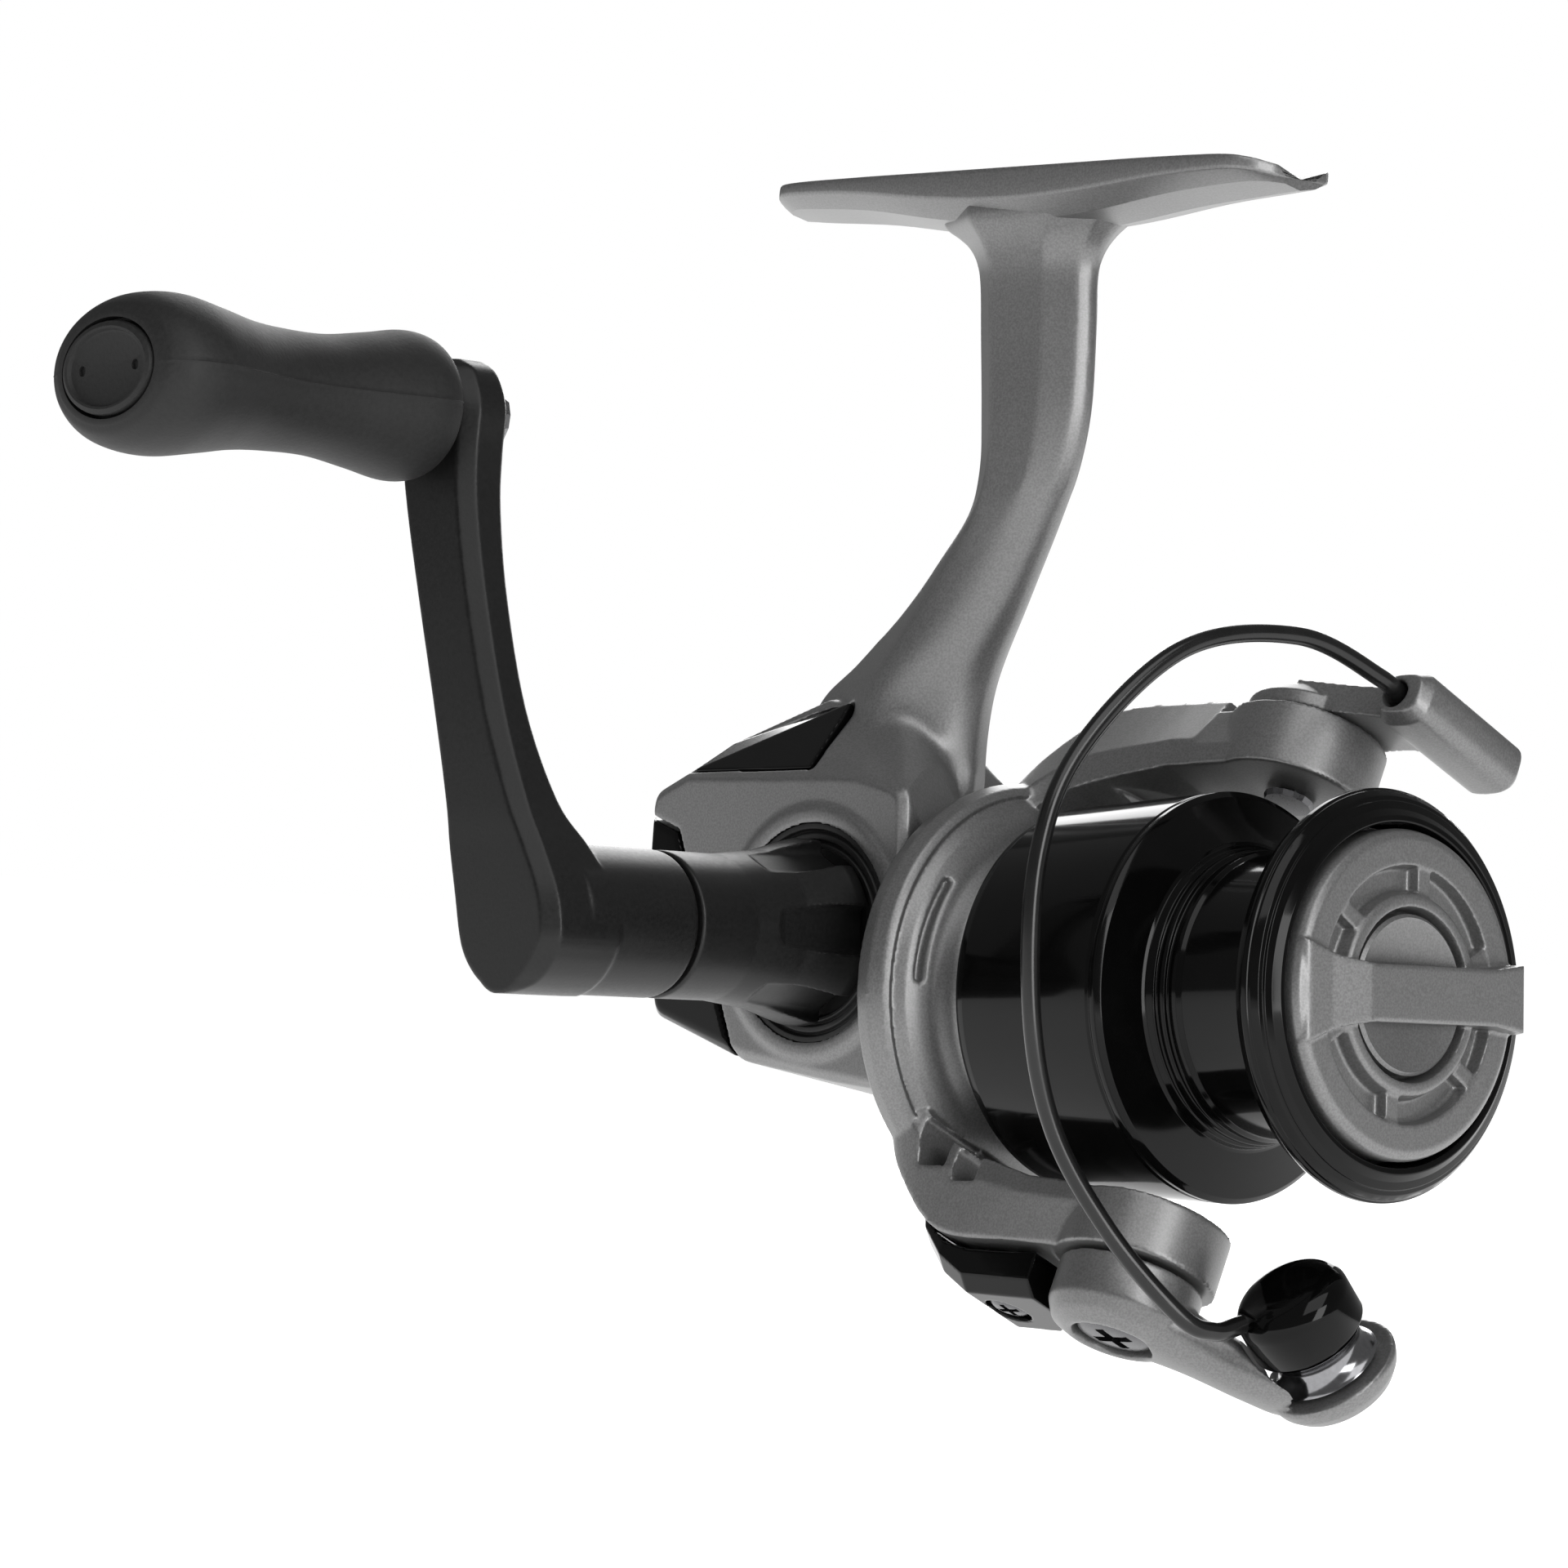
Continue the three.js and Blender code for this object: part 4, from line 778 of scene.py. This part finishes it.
# ------------------------------------------------------------ bail
# Bail arm stations from pivot to roller: x past the pivot, t, d, half width, half thickness.
BAIL_ARM = [
    (0, 0, 29.8, 5.6, 2.6), (4.8, -3.8, 30.7, 3.6, 2.4), (9.3, -7.3, 31.9, 3, 2.1),
    (12.2, -10.2, 31.9, 3.8, 2.1), (14.2, -13.2, 30.2, 4.2, 1.9),
]


def bail_arm():
    rows = spline(BAIL_ARM, 6)
    rings = []
    for k, (x, t, d, half, thick) in enumerate(rows):
        a, b = rows[max(k - 1, 0)], rows[min(k + 1, len(rows) - 1)]
        heading = math.atan2(b[1] - a[1], b[0] - a[0])
        rings.append([arm_point(BAIL_X + x - math.sin(heading) * u, t + math.cos(heading) * u, d + v)
                      for u, v in oval(half, thick, 48, 2.4)])
    hub = turned([(26.7, 0), (26.7, 6.3), (30.4, 6.3), (31.8, 5.6), (32.5, 4.2), (32.6, 0)], 128,
                 on_arm(BAIL_X))
    pad = turned([(-6.2, 0), (-6.1, 1.8), (-5.7, 3.4), (-4.9, 4.8), (-3.9, 5.6), (-2.9, 5.95), (-2.4, 5.95),
                  (-2.4, 0)],
                 96, ON_ROLLER)
    room = cut(rod(5.4, -2.39, 8, ON_ROLLER), rod(1.41, -3, 8, ON_ROLLER))
    made = join(cut(join(loft(rings), hub, pad), room), rod(1.4, -3, 1.4, ON_ROLLER))
    return soften(cut(made, rod(3.6, 31, 40, on_arm(BAIL_X)), rod(PIVOT_BORE, 20, 40, on_arm(BAIL_X))),
                  0.15, 12)


def line_roller():
    groove = [(x, 3.8 + 0.75 * abs((x + 0.4) / 1.4) ** 2.2) for x in (k * 0.1 - 1.8 for k in range(28))]
    return turned([(-2.1, 1.75), (-2.1, 4.5), (-1.95, 4.65), *groove, (1, 4.5), (1, 1.75)], 128, ON_ROLLER,
                  ring=True)


def roller_cap():
    steps = 24
    dome = []
    for k in range(steps + 1):
        a = math.pi / 2 * k / steps
        dome.append((4.5 + 2.2 * math.sin(a), 5.05 * math.cos(a) ** 0.55))
    return turned([(1.4, 1.7), (1.4, 4.85), (1.5, 5), (1.7, 5.08), *dome, (1.75, 0), (1.75, 1.7)], 128,
                  ON_ROLLER)


# Centre of the square weight on the lever: x, t, d.
WEIGHT_AT = (BAIL_X + 13.8, -2.2, -26.6)


def bail_lever():
    hub = turned([(-29, 0), (-28.9, 3), (-28.3, 5), (-27.3, 6), (-26, 6), (-26, 0)], 128, on_arm(BAIL_X))
    neck = loft([[arm_point(BAIL_X + x, t, v)
                  for t, v in [(-half, d - thick), (half, d - thick), (half, d + thick),
                                                           (-half, d + thick)]]
                 for x, half, d, thick in spline([(1, 4.6, -27.5, 1.4), (8, 3.4, -27.1, 1.4),
                                                  (12.4, 3.2, -26.7, 1.6)], 6)])
    rows = [(-8.4, 1.9, 1.6), (-7.4, 2.8, 2.4), (5.4, 2.8, 2.5), (6.6, 2.1, 1.8)]
    weight = loft([[arm_point(WEIGHT_AT[0] + u, WEIGHT_AT[1] + 0.6 + t, WEIGHT_AT[2] + v)
                    for u, v in oval(hx, hd, 48, 3)]
                   for t, hx, hd in rows])
    hole = loft([[arm_point(BAIL_X + 13.2 + u, t, WEIGHT_AT[2] + v) for u, v in oval(1.3, 1.3, 32)]
                 for t in (1.5, 12)])
    return soften(cut(join(hub, neck, weight), hole, rod(PIVOT_BORE, -27.6, -20, on_arm(BAIL_X))), 0.15, 4)


WIRE_R = 0.8
# Wire route from the weight round to the roller cap: x past the bail pivot, t, d.
WIRE = [
    (13.2, 2.2, -26.6), (12.8, 7, -27.1), (11.2, 16.2, -26.1), (8.4, 25.6, -19.8), (5.6, 30.4, -8),
    (4.6, 30.2, 2), (4.2, 25.2, 13.4), (4.6, 18.8, 21.6), (7, 11.1, 27.5), (10.6, 4, 31.6),
    (11.7, 0.6, 31.5), (12.1, -1.9, 29.7),
]


def bail_wire():
    line = [arm_point(BAIL_X + x, t, d) for x, t, d in spline(WIRE, 16)]
    side = Vector((1, 0, 0))
    rings = []
    for k, p in enumerate(line):
        ahead = (line[min(k + 1, len(line) - 1)] - line[max(k - 1, 0)]).normalized()
        side = (side - ahead * side.dot(ahead)).normalized()
        other = ahead.cross(side)
        rings.append([p + side * u + other * v for u, v in oval(WIRE_R, WIRE_R, 24)])
    return loft(rings)


def cross_screw(head_r, head, shank_r, shank, place):
    """Pan head screw with a cross recess, its axis on X and its top at zero."""
    made = turned([(0, 0), (0, head_r * 0.5), (-0.12, head_r * 0.8), (-0.35, head_r), (-head, head_r),
                   (-head, shank_r), (-head - shank, shank_r), (-head - shank, 0)], 64)
    wide, long = head_r * 0.15, head_r * 0.6
    made = cut(made, block(-0.7, 1, -long, long, -wide, wide), block(-0.7, 1, -wide, wide, -long, long))
    made.data.transform(place)
    return made


# ------------------------------------------------------------ assembly
dress(frame_shell(), "frame_shell", "frame", "silver_paint", "frame_casting")
dress(foot(), "foot_plate", "frame", "silver_paint", "frame_casting", angle=50)
dress(side_cover(), "side_cover_shell", "frame", "silver_paint", "side_cover")
dress(rear_cover(), "rear_cover_shell", "frame", "black_gloss", "rear_cover")
for which, side in (("near", -1), ("far", 1)):
    dress(soften(shoulder_block(side, 0), 0.12, 3), f"shoulder_inlay_{which}", "frame", "black_gloss",
          f"shoulder_panel_{which}")
for number, (x, z) in enumerate(SIDE_SCREWS, 1):
    place = Matrix.Translation((x, COVER_FACE - 0.1, z)) @ ABOUT_Y
    dress(cross_screw(1.65, 0.7, 0.8, 3.6, place), f"side_screw_{number}_head", "frame", "steel",
          f"side_screw_{number}")
dress(port_seal(), "port_seal_rings", "frame", "seal_rubber", "port_seal")
dress(handle_arm(), "handle_crank", "crank", "handle_black", "handle_arm")
dress(handle_sleeve(), "handle_stem", "crank", "handle_black", "handle_sleeve")
dress(knob_grip(), "grip", "knob", "grip_rubber", "knob_grip")
dress(knob_cap(), "grip_cap", "knob", "grip_rubber", "knob_cap", angle=25)
dress(rotor_shell(), "rotor_shell", "rotor_head", "silver_paint", "rotor")
dress(arm_cover(), "arm_cover_shell", "rotor_head", "black_gloss", "arm_cover")
dress(cross_screw(1.8, 1, 0.7, 5.4, on_arm(COVER_SCREW_X) @ Matrix.Translation((30, 0, 0))),
      "arm_cover_screw_head",
      "rotor_head", "steel", "arm_cover_screw")
dress(spool(), "spool_body", "spool_set", "spool_black", "spool", angle=60)
dress(drag_knob(), "drag_knob_shell", "drag", "silver_paint", "drag_knob")
dress(drag_button(), "drag_button_dish", "drag", "silver_paint", "drag_button")
dress(bail_arm(), "bail_arm_shell", "bail", "silver_paint", "bail_arm")
dress(cross_screw(3.2, 1, 1.2, 6, on_arm(BAIL_X) @ Matrix.Translation((32.3, 0, 0))), "bail_arm_screw_head",
      "bail", "steel", "bail_arm_screw")
dress(bail_lever(), "bail_lever_shell", "bail", "silver_paint", "bail_lever")
dress(bail_wire(), "bail_wire_bend", "bail", "wire_black", "bail_wire")
dress(roller_cap(), "roller_cap_dome", "bail", "black_gloss", "roller_cap", angle=60)
dress(line_roller(), "line_roller_ring", "roller", "chrome_metal", "line_roller", angle=60)

SLOTS = {row["node"]: row["material_slot"] for row in frame["record"]["subparts"]}
for node, obj in frame["nodes"].items():
    obj.data.materials.clear()
    obj.data.materials.append(FINISH[SLOTS[node]])


# ------------------------------------------------------------ stage, light and camera
def stage_floor():
    mesh = bpy.data.meshes.new("floor")
    size, height = 40.0, before[0].z - 0.004
    mesh.from_pydata([(-size, -size, height), (size, -size, height), (size, size, height),
                      (-size, size, height)], [],
                     [(0, 1, 2, 3)])
    obj = bpy.data.objects.new("floor", mesh)
    bpy.context.scene.collection.objects.link(obj)
    material, nodes, links, shader = new_finish("floor")
    soft = noise_at(nodes, links, 3, 2)
    tinted(nodes, links, soft.outputs["Fac"], shader, [0.8] * 3, [0.82] * 3)
    constant(shader, Roughness=0.9, Specular_IOR_Level=0.1, Emission_Color=(1, 1, 1, 1),
             Emission_Strength=0.85)
    mesh.materials.append(material)


def softbox(name, direction, distance, width, height, watts):
    centre = (before[0] + before[1]) / 2
    light = bpy.data.lights.new(name, "AREA")
    light.shape = "RECTANGLE"
    light.size, light.size_y, light.energy = width, height, watts
    obj = bpy.data.objects.new(name, light)
    bpy.context.scene.collection.objects.link(obj)
    way = Vector(direction).normalized()
    obj.location = centre + way * distance
    obj.visible_camera = False
    obj.rotation_mode = "QUATERNION"
    obj.rotation_quaternion = (-way).to_track_quat("-Z", "Y")


def set_world(grey, strength):
    """Soft grey fill light; the camera itself sees plain white behind the reel."""
    world = bpy.data.worlds.new("studio")
    world.use_nodes = True
    nodes, links = world.node_tree.nodes, world.node_tree.links
    lit = nodes["Background"]
    lit.inputs["Color"].default_value = (grey, grey, grey, 1)
    lit.inputs["Strength"].default_value = strength
    seen = nodes.new("ShaderNodeBackground")
    seen.inputs["Color"].default_value = (1, 1, 1, 1)
    path = nodes.new("ShaderNodeLightPath")
    mix = nodes.new("ShaderNodeMixShader")
    links.new(path.outputs["Is Camera Ray"], mix.inputs["Fac"])
    links.new(lit.outputs["Background"], mix.inputs[1])
    links.new(seen.outputs["Background"], mix.inputs[2])
    links.new(mix.outputs["Shader"], nodes["World Output"].inputs["Surface"])
    bpy.context.scene.world = world


# Camera fitted to the viewpoint of the photograph, in the mechanism frame.
CAMERA_AT = Vector((384.33, -385.37, -16.28))
CAMERA_FORWARD = Vector((-0.71896, 0.69190, 0.06612))
CAMERA_UP = Vector((0.03695, -0.05694, 0.99769))
CAMERA_LENS = 137.2


def set_camera():
    data = bpy.data.cameras.new("camera")
    data.lens = CAMERA_LENS
    data.sensor_width = 36
    data.clip_start, data.clip_end = 0.01, 50
    camera = bpy.data.objects.new("camera", data)
    bpy.context.scene.collection.objects.link(camera)
    back = -CAMERA_FORWARD.normalized()
    right = CAMERA_UP.cross(back).normalized()
    turn = Matrix((right, back.cross(right), back)).transposed().to_4x4()
    camera.matrix_world = Matrix.Translation(TO_ROW @ CAMERA_AT) @ Matrix.Rotation(-PITCH, 4, "Y") @ turn
    bpy.context.scene.camera = camera


stage_floor()
softbox("key", (0.6, -0.5, 1.0), 0.7, 0.5, 0.5, 1.5)
softbox("side", (1.0, -0.25, 0.15), 0.7, 0.28, 0.6, 3.0)
softbox("rear", (-0.6, 0.7, 0.5), 0.8, 0.4, 0.6, 3)
softbox("low", (0.5, -1.0, -0.3), 0.8, 0.6, 0.2, 1.0)
set_world(1.0, 0.2)
set_camera()
bpy.context.scene.view_settings.view_transform = "Standard"
